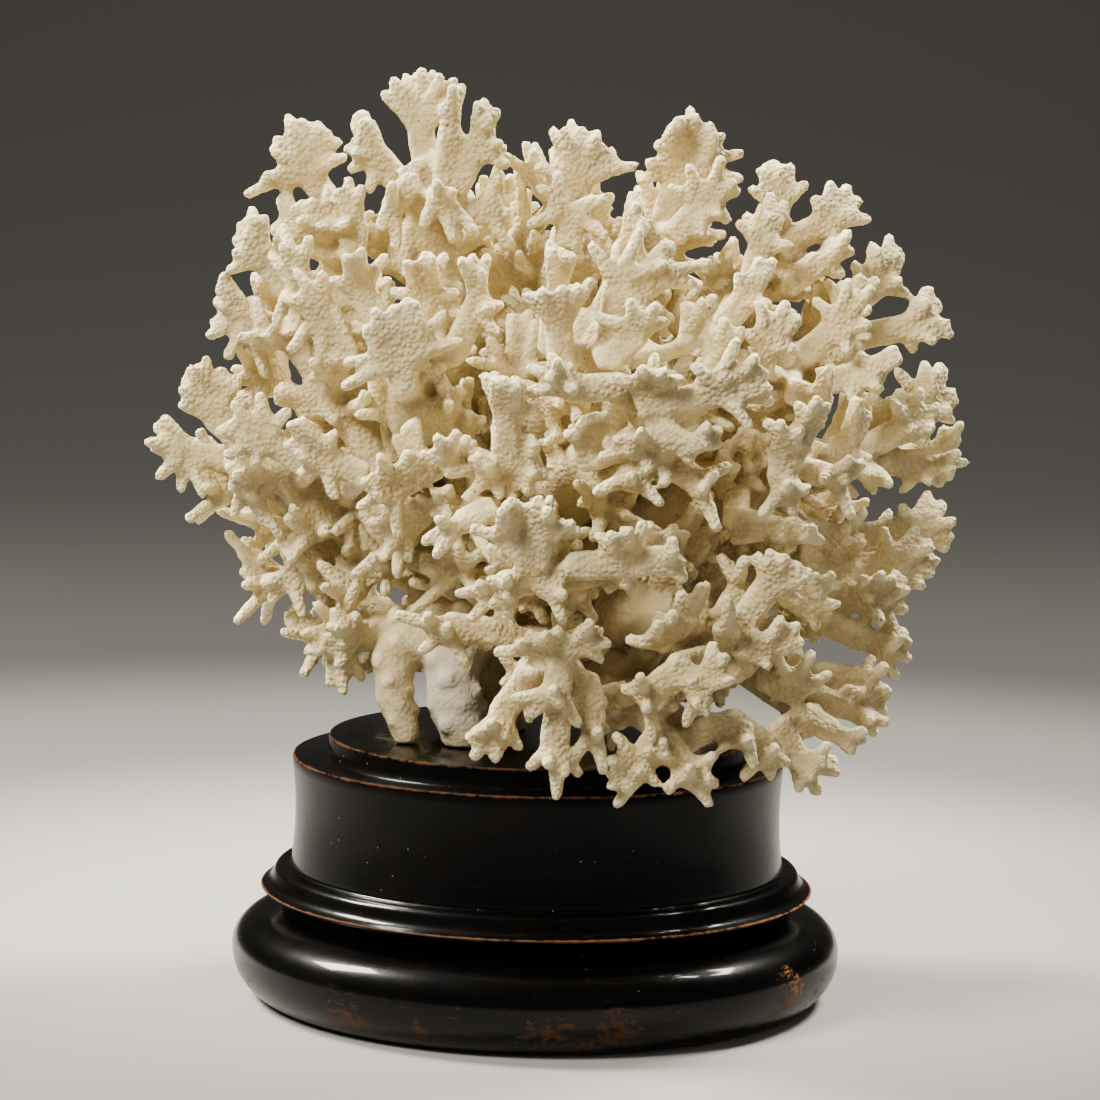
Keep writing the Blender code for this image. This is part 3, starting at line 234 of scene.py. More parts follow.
         ((65.4, 118), (72.5, 117.8), (72.2, 115.2), (73.8, 112.4), (74.9, 110.8), (75.5, 109.2))),
        (4, 0.5, ((68, 102.5), (73, 102.6)), ((74.2, 107.3), (76.7, 105.3))),
        (-4, 0.75, ((61, 101), (70, 101)), ((78.2, 101.2), (75.6, 98.8), (73.6, 97.2), (67, 96))),
        (-10, 0.85, ((60, 104), (66.5, 107)), ((65, 112), (70.5, 110), (71.9, 107.6), (71, 104.6))),
        (-26, 0.5, ((52, 99), (55.3, 101.4)), ((50.5, 104), (58.3, 112.2), (60.3, 101.8))),
        (-46, 0.7, ((44.5, 99), (44.2, 102.6)), ((41.6, 107.9), (45.2, 105.8), (47.4, 104))),
        (-46, 0.7, ((46, 102), (48, 106.6)), ((47.1, 111.5), (49.9, 110.3), (51.2, 108))),
        (-45, 0.8, ((44, 99), (45, 96.5)), ((41, 91.2), (46.6, 91.6), (48.6, 95.4))),
        (-38, 0.5, ((50, 99), (53, 98.4)), ((52, 97.6, 4), (56.1, 97.6, 4), (57.3, 91))),
        (-20, 0.5, ((62, 98),), ((64.3, 97.1, 4),)),
        (-33, 0.8, ((36, 90), (44, 88)), ((36, 86), (46, 84.5), (51.8, 86.2), (47, 90))),
    )),
    ("right_low", (
        (-5, 0.7, ((58, 87), (67.5, 88.4)), ((67, 92.6), (72.4, 91.4), (76.3, 90.2), (75.8, 87.4), (75, 85.2))),
        (-14, 0.5, ((50, 88), (53.6, 87.2)), ((56.5, 88.4), (56.9, 86))),
        (-12, 0.7, ((57, 81), (64, 82)), ((63.7, 88.2), (72.3, 85.2), (73.5, 82.8), (72.5, 80.4), (70.9, 78))),
        (-17, 0.75, ((54, 76), (61, 75)), ((66, 80), (68, 77.2), (67.6, 73.4), (65.6, 71.2))),
        (-19, 0.7, ((53, 71), (61, 67.6)), ((66.2, 69.6), (68.6, 67.6), (68.6, 64.4), (66.4, 61))),
        (-30, 0.8, ((46, 76), (49.5, 74)), ((50.8, 79.5), (51.6, 76), (51.4, 70))),
    )),
    ("right_fringe", (
        (-24, 0.7, ((53, 61), (59, 60)), ((62, 64), (65, 57.4), (64.4, 54.4))),
        (-28, 0.6, ((52, 57), (58, 54.6)), ((64.7, 52.2), (62.6, 50.2))),
        (-33, 0.6, ((50, 53), (54.5, 50.6)), ((60.7, 48.8), (58.8, 46.6))),
        (-40, 0.75, ((45, 51), (48, 45.4)), ((55.4, 44.8), (55.8, 42.4), (52.4, 38.8), (49, 39.4))),
        (-38, 0.8, ((42, 60), (46, 58)), ((44, 65), (52, 60), (50, 53))),
    )),
    ("front_right", (
        (-49, 0.7, ((34.6, 69.5),), ((34.8, 75, 3),)),
        (-40, 0.5, ((35, 73), (37, 76)), ((33.4, 82.6), (35.5, 81))),
        (-45, 0.5, ((38.6, 72), (42, 77)), ((40.3, 83), (43.2, 82.4), (46, 81.2), (49.6, 80), (48, 75))),
        (-46, 0.75, ((37.6, 66), (41.5, 65)), ((40, 68.6), (43.4, 68.4), (46.6, 67.4), (42.5, 62.4, 3))),
        (-46, 0.5, ((25, 69), (27.5, 72)), ((27, 74.2), (30.7, 77.2))),
        (-48, 0.55, ((24, 70), (22, 66.5)), ((16.7, 66.8), (21.8, 71.7), (25.3, 69.8))),
        (-52, 0.6, ((25, 62), (29.6, 58.6)),
         ((32.3, 66.1), (34, 62.2), (31.4, 55.6), (27.6, 51.6), (28.4, 59, 4))),
        (-52, 0.55, ((24, 60), (20.2, 56.4)), ((15.8, 57.6), (18.2, 58.8), (21.2, 48.4))),
    )),
    ("front_low", (
        (-53, 0.55, ((3.6, 64.6), (-0.6, 65.6)), ((-7.8, 64.1), (-1.9, 67.7), (3.4, 68.2))),
        (-53, 0.6, ((4, 64.6), (7.6, 66.6)), ((8.2, 69), (10.9, 68.6), (11.2, 63.2))),
        (-53, 0.5, ((3.6, 63), (3.4, 57.4)), ((-4.7, 55.4), (7.2, 51), (-1.1, 52.8))),
        (-51.5, 0.65, ((3.8, 55), (3, 47.6)), ((-1.4, 42.8), (3.5, 37.2), (7.4, 41.6))),
        (-49, 0.5, ((8.6, 59), (10, 51.5)), ((7.6, 45.6), (12.3, 42.2))),
        (-47, 0.85, ((-2, 60), (-7, 52.5)), ((-13, 48), (-12, 44.4), (-8, 44), (-3.8, 46.4))),
        (-32, 0.7, ((-9, 68), (-17, 69)), ((-26.4, 70.8), (-22, 64.2), (-14, 62))),
    )),
    ("low_fringe", (
        (-48, 0.75, ((23, 50), (19, 43.6)), ((14.6, 48.6), (13.4, 41.6), (15, 35.9), (22, 40))),
        (-49, 0.8, ((24, 48), (27.5, 43)), ((24.5, 38.8), (32.1, 36.2), (33.2, 40), (32.6, 45))),
        (-46, 0.6, ((32, 51), (38.6, 49.6)), ((34.6, 47), (40.2, 43.8))),
        (-42, 0.8, ((36, 52), (42.6, 47)), ((38.6, 41.6), (43.6, 41.6), (46, 46))),
    )),
)

# Sprays set by rule: node names they may grow from, number, share of the full size, side (-1 front, 1 back),
# fingers in each, reach.
SPRAYS = (
    (("coral_back",), 34, 1.0, 1, 6, 14.5),
    (("coral_front", "coral_centre", "coral_upper_front", "coral_low_fringe", "coral_left", "coral_right",
      "coral_top", "coral_crown", "coral_upper"), 26, 0.6, -1, 5, 12.5),
)
# Rings of sprays that close the gaps behind the outline: number, share, depth, fingers in each, reach.
FILLERS = ((20, 0.76, 9.0, 5, 12.0), (13, 0.50, 14.0, 5, 13.0))
FILLED_PIECES = ("coral_left", "coral_right", "coral_top", "coral_crown", "coral_upper_left",
                 "coral_upper_right", "coral_back")
# Palms of single sprays that close a gap, and the fingers in each with their reach.
GAP_PALMS = ((-54.0, 7.0, 130.0), (-47.0, -4.0, 87.0), (-39.0, -6.0, 74.0), (-57.0, 4.0, 117.0))
GAP_FINGERS = 5
GAP_REACH = 12.5
SPREAD_CENTRE = (2.0, 0.0, 88.0)
SPREAD_RADII = (66.0, 50.0, 66.0)
SPREAD_DOWN = 30.0
SPRAY_SPREAD = 250
RING_START = -28
RING_SPREAD = 236

# Growth of the coral.
TIP_RADIUS = 1.1
FINGER_RADIUS = 1.6
STEM_RADIUS = 1.5
STEM_HALF_WIDTH = 1.15
BLADE_FLATNESS = 0.5
BLADE_WIDTH = 0.55
LEAST_SLANT = 9.0
WEB_RADIUS = 1.15
WEB_CUT = 0.22
LEAST_WEB = 0.15
TWIG_SPACING = 5.5
KNUCKLES_PER_STRETCH = 9
KNUCKLE_SIZE = 0.47
KNUCKLE_SIZE_WAVE = 0.14
KNUCKLE_REACH = 0.78
TWIG_REACH = 7.5
TWIG_ANGLES = (-0.95, -0.3, 0.35, 1.0)
CORE_RADIUS = 9.0
FAN_WEB = 0.6
WIDEST_WEB = math.radians(100)
SHORTEST_TIP_GAP = 2.5
BOW = 0.08
TIP_WOBBLE = 1.4
CORE = (-4.0, 0.0, 86.0)
GOLDEN_TURN = 2.39996
EYE = (0.0, -667.4, 156.1)

# Skin of the coral.
SKIN_GRID = 0.71
KNOB_RADIUS = 0.6
KNOBS_PER_FINGER = 3
KNOB_SPACING = 1.7
KNOB_REACH = 0.65
KNOB_REACH_WAVE = 0.2
FINGER_REACH = 9.0
SHELTER_START = 8.0
SHELTER_END = 24.0
CORALLITE_PITCH = 1.45
RELIEF_SIZES = {"Lump size": 4.2, "Lump height": 0.5, "Grain pitch": 1.75, "Grain height": 0.36}

# Stand, turned about Z.
FOOT_RADIUS = 57.0
FOOT_HEIGHT = 15.6
FOOT_WIDEST = 9.2
FILLET_RADIUS = 47.6
COLLAR_RADIUS = 51.7
COLLAR_EDGE_HEIGHT = 20.5
COLLAR_TOP = 25.6
DRUM_RADIUS = 46.0
DRUM_WAIST = 45.4
DRUM_TOP = 45.05
DISC_RADIUS = 39.3
DISC_TOP = 48.8
STAND_SIDES = 256
WALL_STEPS = 12


def seen(x, z, y):
    """The point at depth y that the front view shows at (x, z) of the plane y = 0."""
    eye = Vector(EYE)
    return eye + (Vector((x, 0.0, z)) - eye) * ((y - eye.y) / -eye.y)


def nearest_on(axis, point):
    """The point of a limb's axis nearest to the given point."""
    spots = []
    for a, b in zip(axis, axis[1:]):
        start = Vector(a[:3])
        run = Vector(b[:3]) - start
        share = min(1.0, max(0.0, (point - start).dot(run) / run.length_squared))
        spots.append(start + run * share)
    return min(spots, key=lambda spot: (spot - point).length)


def across_of(direction, hint):
    """A unit vector square to the direction, as near to the hint as it can be."""
    square = hint - direction * hint.dot(direction) / direction.length_squared
    return square.normalized() if square.length > 1e-3 else direction.orthogonal().normalized()


def plank(start, end, across, half_width, radius):
    """A flattened stretch of branch between two points."""
    shift = across * half_width
    return (start - shift, radius), (start + shift, radius), (end - shift, radius), (end + shift, radius)


def finger(root, tip):
    """A tapering finger that bows away from the coral's core, with small knobs round its end."""
    middle = (root + tip) / 2
    middle += (middle - Vector(CORE)).normalized() * (tip - root).length * BOW
    bend = (FINGER_RADIUS + TIP_RADIUS) / 2
    yield (root, FINGER_RADIUS), (middle, bend)
    yield (middle, bend), (tip, TIP_RADIUS)
    along = (tip - middle).normalized()
    side = along.orthogonal().normalized()
    other = along.cross(side)
    start = 1.3 * tip.x + 0.7 * tip.z
    for number in range(KNOBS_PER_FINGER):
        turn = start + number * GOLDEN_TURN
        level = tip - along * (0.2 + KNOB_SPACING * number)
        out = side * math.cos(turn) + other * math.sin(turn)
        reach = KNOB_REACH + KNOB_REACH_WAVE * math.sin(3.1 * turn)
        yield (level, KNOB_RADIUS), (level + out * reach + along * 0.5, KNOB_RADIUS)


def facing_of(palm, tips):
    """The unit normal of a fan, on its side away from the coral's core."""
    outward = (palm - Vector(CORE)).normalized()
    normal = (tips[0] - palm).cross(tips[-1] - palm)
    if normal.length < 1e-6:
        return outward
    normal.normalize()
    normal = -normal if normal.dot(outward) < 0 else normal
    return (normal + outward * 0.6).normalized()


def extra_fingers(palm, tips):
    """Short fingers that stand out of a fan's face."""
    facing = facing_of(palm, tips)
    for number, (one, other) in enumerate(zip(tips, tips[1:])):
        phase = math.sin(2.7 * one.x + 1.9 * other.z + number)
        between = (one + other) / 2 - palm
        if between.length < SHORTEST_TIP_GAP:
            continue
        root = palm + between * 0.35
        lift = Vector((0, 0, 2.4 + phase))
        yield root, root + facing * (3.6 + 1.4 * phase) + between.normalized() * (2.2 - 1.2 * phase) + lift


def fan(palm, tips, web):
    """Fingers from one palm, with webs between neighbours."""
    share = max(LEAST_WEB, web - WEB_CUT)
    for tip in tips:
        yield from finger(palm, tip)
    for root, tip in extra_fingers(palm, tips) if len(tips) > 1 else ():
        yield from finger(root, tip)
    for one, other in zip(tips, tips[1:]):
        if (one - palm).angle(other - palm, 0.0) < WIDEST_WEB:
            near = palm + (one - palm) * share
            far = palm + (other - palm) * share
            yield (palm, WEB_RADIUS), (near, WEB_RADIUS), (far, WEB_RADIUS)


def spokes(run):
    """Two unit vectors square to a run and to each other."""
    side = run.orthogonal().normalized()
    return side, run.normalized().cross(side)


def twigs(axis):
    """Small fans along a limb, turned by the golden angle and kept to its outer side."""
    order = 0
    for a, b in zip(axis, axis[1:]):
        start, end = Vector(a[:3]), Vector(b[:3])
        run = end - start
        side, other = spokes(run)
        count = max(1, round(run.length / TWIG_SPACING))
        for number in range(count):
            order += 1
            spot = start + run * (number + 0.5) / count
            out = side * math.cos(order * GOLDEN_TURN) + other * math.sin(order * GOLDEN_TURN)
            outward = (spot - Vector(CORE)).normalized()
            if out.dot(outward) < -0.45 or (spot - Vector(CORE)).length < CORE_RADIUS:
                continue
            aim = (out + run.normalized() * 0.5 + outward * 0.3).normalized()
            across = aim.cross(run.normalized() + Vector((0.1, 0.2, 0.3))).normalized()
            palm = spot + aim * (a[3] * 0.6 + 2.5)
            tips = []
            for turn in TWIG_ANGLES:
                wave = 0.8 + 0.2 * math.sin(order + 4 * turn)
                tips.append(palm + (aim * math.cos(turn) + across * math.sin(turn)) * TWIG_REACH * wave)
            yield palm, spot, across, tips


def stem(axis, path, hint):
    """The flattened stalk from a limb to a palm."""
    spot = nearest_on(axis, path[0])
    for point in path:
        if (point - spot).length > 0.5:
            yield plank(spot, point, across_of(point - spot, hint), STEM_HALF_WIDTH, STEM_RADIUS)
        spot = point


def front_frond(axis, depth, web, path, tips):
    """The groups of spheres of one frond read from the front, and its finger tips."""
    points = [seen(x, z, depth + 0.35 * (len(path) - 1 - i)) for i, (x, z) in enumerate(path)]
    ends = []
    for tip in tips:
        lean = tip[2] if len(tip) > 2 else 1.0
        wobble = TIP_WOBBLE * math.sin(1.7 * tip[0] + 2.3 * tip[1])
        ends.append(seen(tip[0], tip[1], depth - lean + wobble))
    groups = list(stem(axis, points, Vector((1, 0, 0)) if len(ends) == 1 else ends[-1] - ends[0]))
    return groups + list(fan(points[-1], ends, web)), ends


def spray(axis, palm, count, reach):
    """A fan of fingers round a palm, spread across its outward direction, and its finger tips."""
    outward = (palm - Vector(CORE)).normalized()
    side = outward.cross(Vector((0, 0, 1))).normalized()
    up = side.cross(outward)
    hub = palm - outward * reach * 0.45
    ends = []
    for number in range(count):
        phase = palm.x * 0.7 + palm.z * 0.3 + number * 2.1
        turn = math.radians(-SPRAY_SPREAD / 2 + SPRAY_SPREAD * number / (count - 1)) + 0.16 * math.sin(phase)
        length = reach * (0.82 + 0.18 * math.sin(1.9 * phase))
        across = side * math.sin(turn) + up * math.cos(turn)
        ends.append(hub + across * length * 0.8 + outward * length * 0.55)
    return list(stem(axis, [hub], side)) + list(fan(hub, ends, FAN_WEB)), ends


def spread_points(number, share, facing):
    """Points over half of an egg-shaped shell, by the golden angle."""
    for step in range(number):
        depth = (step + 0.5) / number
        ring = math.sqrt(1 - depth * depth)
        turn = step * GOLDEN_TURN
        high = ring * math.cos(turn)
        reach_z = SPREAD_RADII[2] if high > 0 else SPREAD_DOWN
        offset = (SPREAD_RADII[0] * ring * math.sin(turn), facing * SPREAD_RADII[1] * depth, reach_z * high)
        yield Vector(SPREAD_CENTRE) + Vector(offset) * share


def ring_points(number, share, depth):
    """Points round the coral's outline, a little behind its middle."""
    for step in range(number):
        turn = math.radians(RING_START + RING_SPREAD * step / (number - 1))
        wave = 1 + 0.07 * math.sin(4.1 * step)
        offset = Vector((SPREAD_RADII[0] * math.cos(turn) * wave, 0, SPREAD_RADII[2] * math.sin(turn) * wave))
        yield Vector(SPREAD_CENTRE) + offset * share + Vector((0, depth + 4 * math.sin(2.3 * step), 0))


def knuckles(axis):
    """Rounded bumps that break up a thick limb's outline."""
    order = 0
    for a, b in zip(axis, axis[1:]):
        start, end = Vector(a[:3]), Vector(b[:3])
        run = end - start
        side, other = spokes(run)
        for number in range(KNUCKLES_PER_STRETCH):
            order += 1
            share = (number + 0.5) / KNUCKLES_PER_STRETCH
            girth = a[3] + (b[3] - a[3]) * share
            size = girth * (KNUCKLE_SIZE + KNUCKLE_SIZE_WAVE * math.sin(5.3 * order))
            out = side * math.cos(order * GOLDEN_TURN) + other * math.sin(order * GOLDEN_TURN)
            spot = start + run * share
            yield (spot, size), (spot + out * girth * KNUCKLE_REACH, size * 0.8)


def limb_near(point, prefixes):
    """The limb of the named pieces whose axis passes nearest to a point."""
    limbs = [limb for limb in LIMBS if limb[1].startswith(prefixes)]
    return min(limbs, key=lambda limb: (nearest_on(limb[2], point) - point).length)


def add_spray(pieces, palm, prefixes, count, reach):
    """Grows a spray on whichever of the named pieces passes nearest to its palm."""
    _, piece, axis = limb_near(palm, prefixes)
    groups, ends = spray(axis, palm, count, reach)
    pieces[piece][0].extend(groups)
    pieces[piece][1].extend(ends)


def grown_coral():
    """Each piece of the coral as (groups of spheres, outer tips, twig tips). A group means its convex hull."""
    pieces = {}
    axes = {}
    for name, piece, axis in LIMBS:
        axes[name] = (piece, axis)
        groups, tips, twig_tips = pieces.setdefault(piece, ([], [], []))
        for a, b in zip(axis, axis[1:]):
            start, end = Vector(a[:3]), Vector(b[:3])
            if piece == "coral_base":
                groups.append(((start, a[3]), (end, b[3])))
                continue
            hint = Vector((0.6, 0.25, 0.75)) if abs(end.x - start.x) > LEAST_SLANT else Vector((1, 0, 0))
            across = across_of(end - start, hint)
            wide = BLADE_WIDTH * (a[3] + b[3]) / 2
            groups.append(plank(start, end, across, wide, BLADE_FLATNESS * b[3]))
        if piece == "coral_base":
            groups += knuckles(axis)
            continue
        for palm, spot, across, ends in twigs(axis):
            groups.append(plank(spot, palm, across, STEM_HALF_WIDTH * 0.7, STEM_RADIUS))
            groups += fan(palm, ends, FAN_WEB)
            twig_tips += ends
    for limb, fronds in FRONDS:
        piece, axis = axes[limb]
        for frond in fronds:
            groups, ends = front_frond(axis, *frond)
            pieces[piece][0].extend(groups)
            pieces[piece][1].extend(ends)
    for prefixes, number, share, facing, count, reach in SPRAYS:
        for palm in spread_points(number, share, facing):
            add_spray(pieces, palm, prefixes, count, reach)
    for number, share, depth, count, reach in FILLERS:
        for palm in ring_points(number, share, depth):
            add_spray(pieces, palm, FILLED_PIECES, count, reach)
    for palm in GAP_PALMS:
        add_spray(pieces, Vector(palm), FILLED_PIECES, GAP_FINGERS, GAP_REACH)
    return pieces


def hull_mesh(name, groups):
    """One mesh of the convex hulls of all the groups, which overlap where they meet."""
    ball = bmesh.new()
    bmesh.ops.create_icosphere(ball, subdivisions=2, radius=1.0)
    directions = np.array([corner.co[:] for corner in ball.verts])
    ball.free()
    corners, faces = [], []
    for spheres in groups:
        hull = bmesh.new()
        for centre, radius in spheres:
            for spot in (np.array(centre) + directions * radius) * MM:
                hull.verts.new(spot)
        found = bmesh.ops.convex_hull(hull, input=hull.verts)
        inside = [item for item in found["geom_interior"] if isinstance(item, bmesh.types.BMVert)]
        bmesh.ops.delete(hull, geom=inside, context="VERTS")
        hull.verts.index_update()
        first = len(corners)
        corners += [corner.co[:] for corner in hull.verts]
        faces += [[first + corner.index for corner in face.verts] for face in hull.faces]
        hull.free()
    mesh = bpy.data.meshes.new(name)
    mesh.from_pydata(corners, [], faces)
    return mesh


def linked(name, mesh):
    obj = bpy.data.objects.new(name, mesh)
    bpy.context.scene.collection.objects.link(obj)
    return obj


def settle(obj):
    """Replaces the object's mesh and modifiers by the evaluated result."""
    mesh = bpy.data.meshes.new_from_object(obj.evaluated_get(bpy.context.evaluated_depsgraph_get()))
    old = obj.data
    obj.modifiers.clear()
    obj.data = mesh
    bpy.data.meshes.remove(old)


def places(mesh):
    """The mesh's corners as an array."""
    flat = np.empty(3 * len(mesh.vertices), np.float32)
    mesh.vertices.foreach_get("co", flat)
    return flat.reshape(-1, 3)


def edge_ends(mesh):
    ends = np.empty(2 * len(mesh.edges), np.int32)
    mesh.edges.foreach_get("vertices", ends)
    return ends.reshape(-1, 2)


def drop_islands(mesh):
    """Keeps the largest island of the mesh: the others are pockets inside the coral."""
    ends = edge_ends(mesh)
    label = np.arange(len(mesh.vertices))
    while True:
        low = np.minimum(label[ends[:, 0]], label[ends[:, 1]])
        fresh = label.copy()
        np.minimum.at(fresh, ends[:, 0], low)
        np.minimum.at(fresh, ends[:, 1], low)
        fresh = fresh[fresh]
        if (fresh == label).all():
            break
        label = fresh
    names, counts = np.unique(label, return_counts=True)
    loose = np.flatnonzero(label != names[counts.argmax()])
    if len(loose):
        shape = bmesh.new()
        shape.from_mesh(mesh)
        shape.verts.ensure_lookup_table()
        bmesh.ops.delete(shape, geom=[shape.verts[index] for index in loose.tolist()], context="VERTS")
        shape.to_mesh(mesh)
        shape.free()


def tip_distance(mesh, tree):
    """How far each corner is from the nearest finger tip, in millimetres."""
    return np.array([tree.find(spot)[2] for spot in places(mesh).astype(float).tolist()], np.float32) / MM


def tree_of(tips):
    tree = kdtree.KDTree(len(tips))
    for index, tip in enumerate(tips):
        tree.insert(tip * MM, index)
    tree.balance()
    return tree


def ridges(mesh, rounds):
    """How far each corner stands out of its neighbourhood, along its normal, in millimetres."""
    ends = edge_ends(mesh)
    spots = places(mesh).astype(np.float64)
    flat = np.empty(3 * len(mesh.vertices), np.float32)
    mesh.vertices.foreach_get("normal", flat)
    count = np.bincount(ends.ravel(), minlength=len(spots))[:, None]

    def spread(values):
        total = np.zeros_like(values)
        np.add.at(total, ends[:, 0], values[ends[:, 1]])
        np.add.at(total, ends[:, 1], values[ends[:, 0]])
        return total / np.maximum(count, 1)

    even = spots
    for _ in range(rounds):
        even = spread(even)
    out = ((spots - even) * flat.reshape(-1, 3)).sum(axis=1, keepdims=True)
    return spread(out)[:, 0] / MM


def add_values(mesh, name, values):
    found = mesh.attributes.get(name) or mesh.attributes.new(name, "FLOAT", "POINT")
    found.data.foreach_set("value", np.ascontiguousarray(values, np.float32))


def geometry_tree(name):
    tree = bpy.data.node_groups.new(name, "GeometryNodeTree")
    tree.interface.new_socket("Geometry", in_out="INPUT", socket_type="NodeSocketGeometry")
    tree.interface.new_socket("Geometry", in_out="OUTPUT", socket_type="NodeSocketGeometry")
    return tree


def named_input(tree, name, value):
    tree.interface.new_socket(name, in_out="INPUT", socket_type="NodeSocketFloat").default_value = value


class Value:
    """A number or vector in a node tree, with arithmetic that lays the Math nodes."""

    def __init__(self, tree, socket):
        self.tree = tree
        self.socket = socket

    def maths(self, operation, *others, swap=False):
        node = self.tree.nodes.new("ShaderNodeMath")
        node.operation = operation
        terms = [self, *others]
        if swap:
            terms.reverse()
        for slot, term in zip(node.inputs, terms):
            plug(self.tree, slot, term)
        return Value(self.tree, node.outputs[0])

    __add__ = __radd__ = partialmethod(maths, "ADD")
    __mul__ = __rmul__ = partialmethod(maths, "MULTIPLY")
    __sub__ = partialmethod(maths, "SUBTRACT")
    __rsub__ = partialmethod(maths, "SUBTRACT", swap=True)
    __truediv__ = partialmethod(maths, "DIVIDE")
    __rtruediv__ = partialmethod(maths, "DIVIDE", swap=True)
    __pow__ = partialmethod(maths, "POWER")
    at_least = partialmethod(maths, "MAXIMUM")
    at_most = partialmethod(maths, "MINIMUM")

    def step(self, start, end):
        """0 below start and 1 above end, smooth between; start may be the larger."""
        return laid(self.tree, "ShaderNodeMapRange", "Result", Value=self, From_Min=start, From_Max=end,
                    interpolation_type="SMOOTHSTEP")


def plug(tree, slot, term):
    if isinstance(term, Value):
        tree.links.new(term.socket, slot)
    else:
        slot.default_value = term


def laid(tree, kind, output, **settings):
    """Adds a node. A setting that names an input fills it, and any other is a property of the node."""
    node = tree.nodes.new(kind)
    slots = {}
    for name, value in settings.items():
        if name.replace("_", " ") not in node.inputs:
            setattr(node, name, value)
        else:
            slots[name.replace("_", " ")] = value
    for name, value in slots.items():
        plug(tree, next(slot for slot in node.inputs if slot.name == name and slot.enabled), value)
    return Value(tree, next(slot for slot in node.outputs if slot.name == output and slot.enabled))


def blended(tree, under, over, share):
    """The under colour with the over colour laid on it by share."""
    node = tree.nodes.new("ShaderNodeMix")
    node.data_type = "RGBA"
    colours = [slot for slot in node.inputs if slot.type == "RGBA"]
    plug(tree, node.inputs[0], share)
    plug(tree, colours[0], under)
    plug(tree, colours[1], over)
    return Value(tree, next(slot for slot in node.outputs if slot.type == "RGBA"))


def new_finish(name, **constants):
    """A material, its node tree and its shader, with the constants set on the shader's own sockets."""
    material = bpy.data.materials.new(name)
    material.use_nodes = True
    tree = material.node_tree
    shader = tree.nodes["Principled BSDF"]
    for socket, value in constants.items():
        shader.inputs[socket.replace("_", " ")].default_value = value
    return material, tree, shader


def object_place(tree):
    return Value(tree, tree.nodes.new("ShaderNodeTexCoord").outputs["Object"])


def axes_of(tree, place):
    split = tree.nodes.new("ShaderNodeSeparateXYZ")
    tree.links.new(place.socket, split.inputs[0])
    return [Value(tree, output) for output in split.outputs]


def noise(tree, place, size, detail=3.0, roughness=0.5):
    """Soft noise from 0 to 1 with features of about the given size in millimetres."""
    return laid(tree, "ShaderNodeTexNoise", "Fac", Vector=place, Scale=1 / (size * MM), Detail=detail,
                Roughness=roughness)


def cells(tree, place, pitch, feature, randomness):
    """Voronoi distance over cells of the given pitch in millimetres."""
    return laid(tree, "ShaderNodeTexVoronoi", "Distance", Vector=place, Scale=1 / (pitch * MM), feature=feature,
                Randomness=randomness)


def attribute(tree, name):
    node = tree.nodes.new("ShaderNodeAttribute")
    node.attribute_name = name
    return Value(tree, node.outputs["Fac"])


def bumped(tree, shader, height, distance, strength=1.0):
    """Feeds a height in millimetres to the shader's normal."""
    bump = tree.nodes.new("ShaderNodeBump")
    bump.inputs["Strength"].default_value = strength
    bump.inputs["Distance"].default_value = distance * MM
    tree.links.new(height.socket, bump.inputs["Height"])
    tree.links.new(bump.outputs["Normal"], shader.inputs["Normal"])


# Colours of the coral.
CREAM = (0.64, 0.53, 0.29, 1.0)
CHALK = (0.97, 0.87, 0.52, 1.0)
# Tan of the calices, also used as painted shade low at the front.
CALIX_AND_LOW_SHADE_TAN = (0.27, 0.185, 0.07, 1.0)
# Brown of the hollows: some dirt, mostly painted shade.
HOLLOW_DIRT_AND_SHADE_BROWN = (0.115, 0.07, 0.024, 1.0)
OCHRE = (0.42, 0.30, 0.115, 1.0)
SCAR_WHITE = (0.56, 0.51, 0.42, 1.0)
SPECK = (0.03, 0.022, 0.015, 1.0)

# Patterns on the coral in millimetres, and the pale scar on its foot: place, flattening in height, edge.
PATCH_SIZE = 9.0
WANDER_SIZE = 2.6
GRIT_SIZE = 0.5
GRAIN_PITCH = 0.95
SPECK_PITCH = 3.4
SCAR_PLACE = (-15.5, -17.0, 60.5)
SCAR_FLATNESS = 0.6
SCAR_EDGE = (7.5, 5.0)


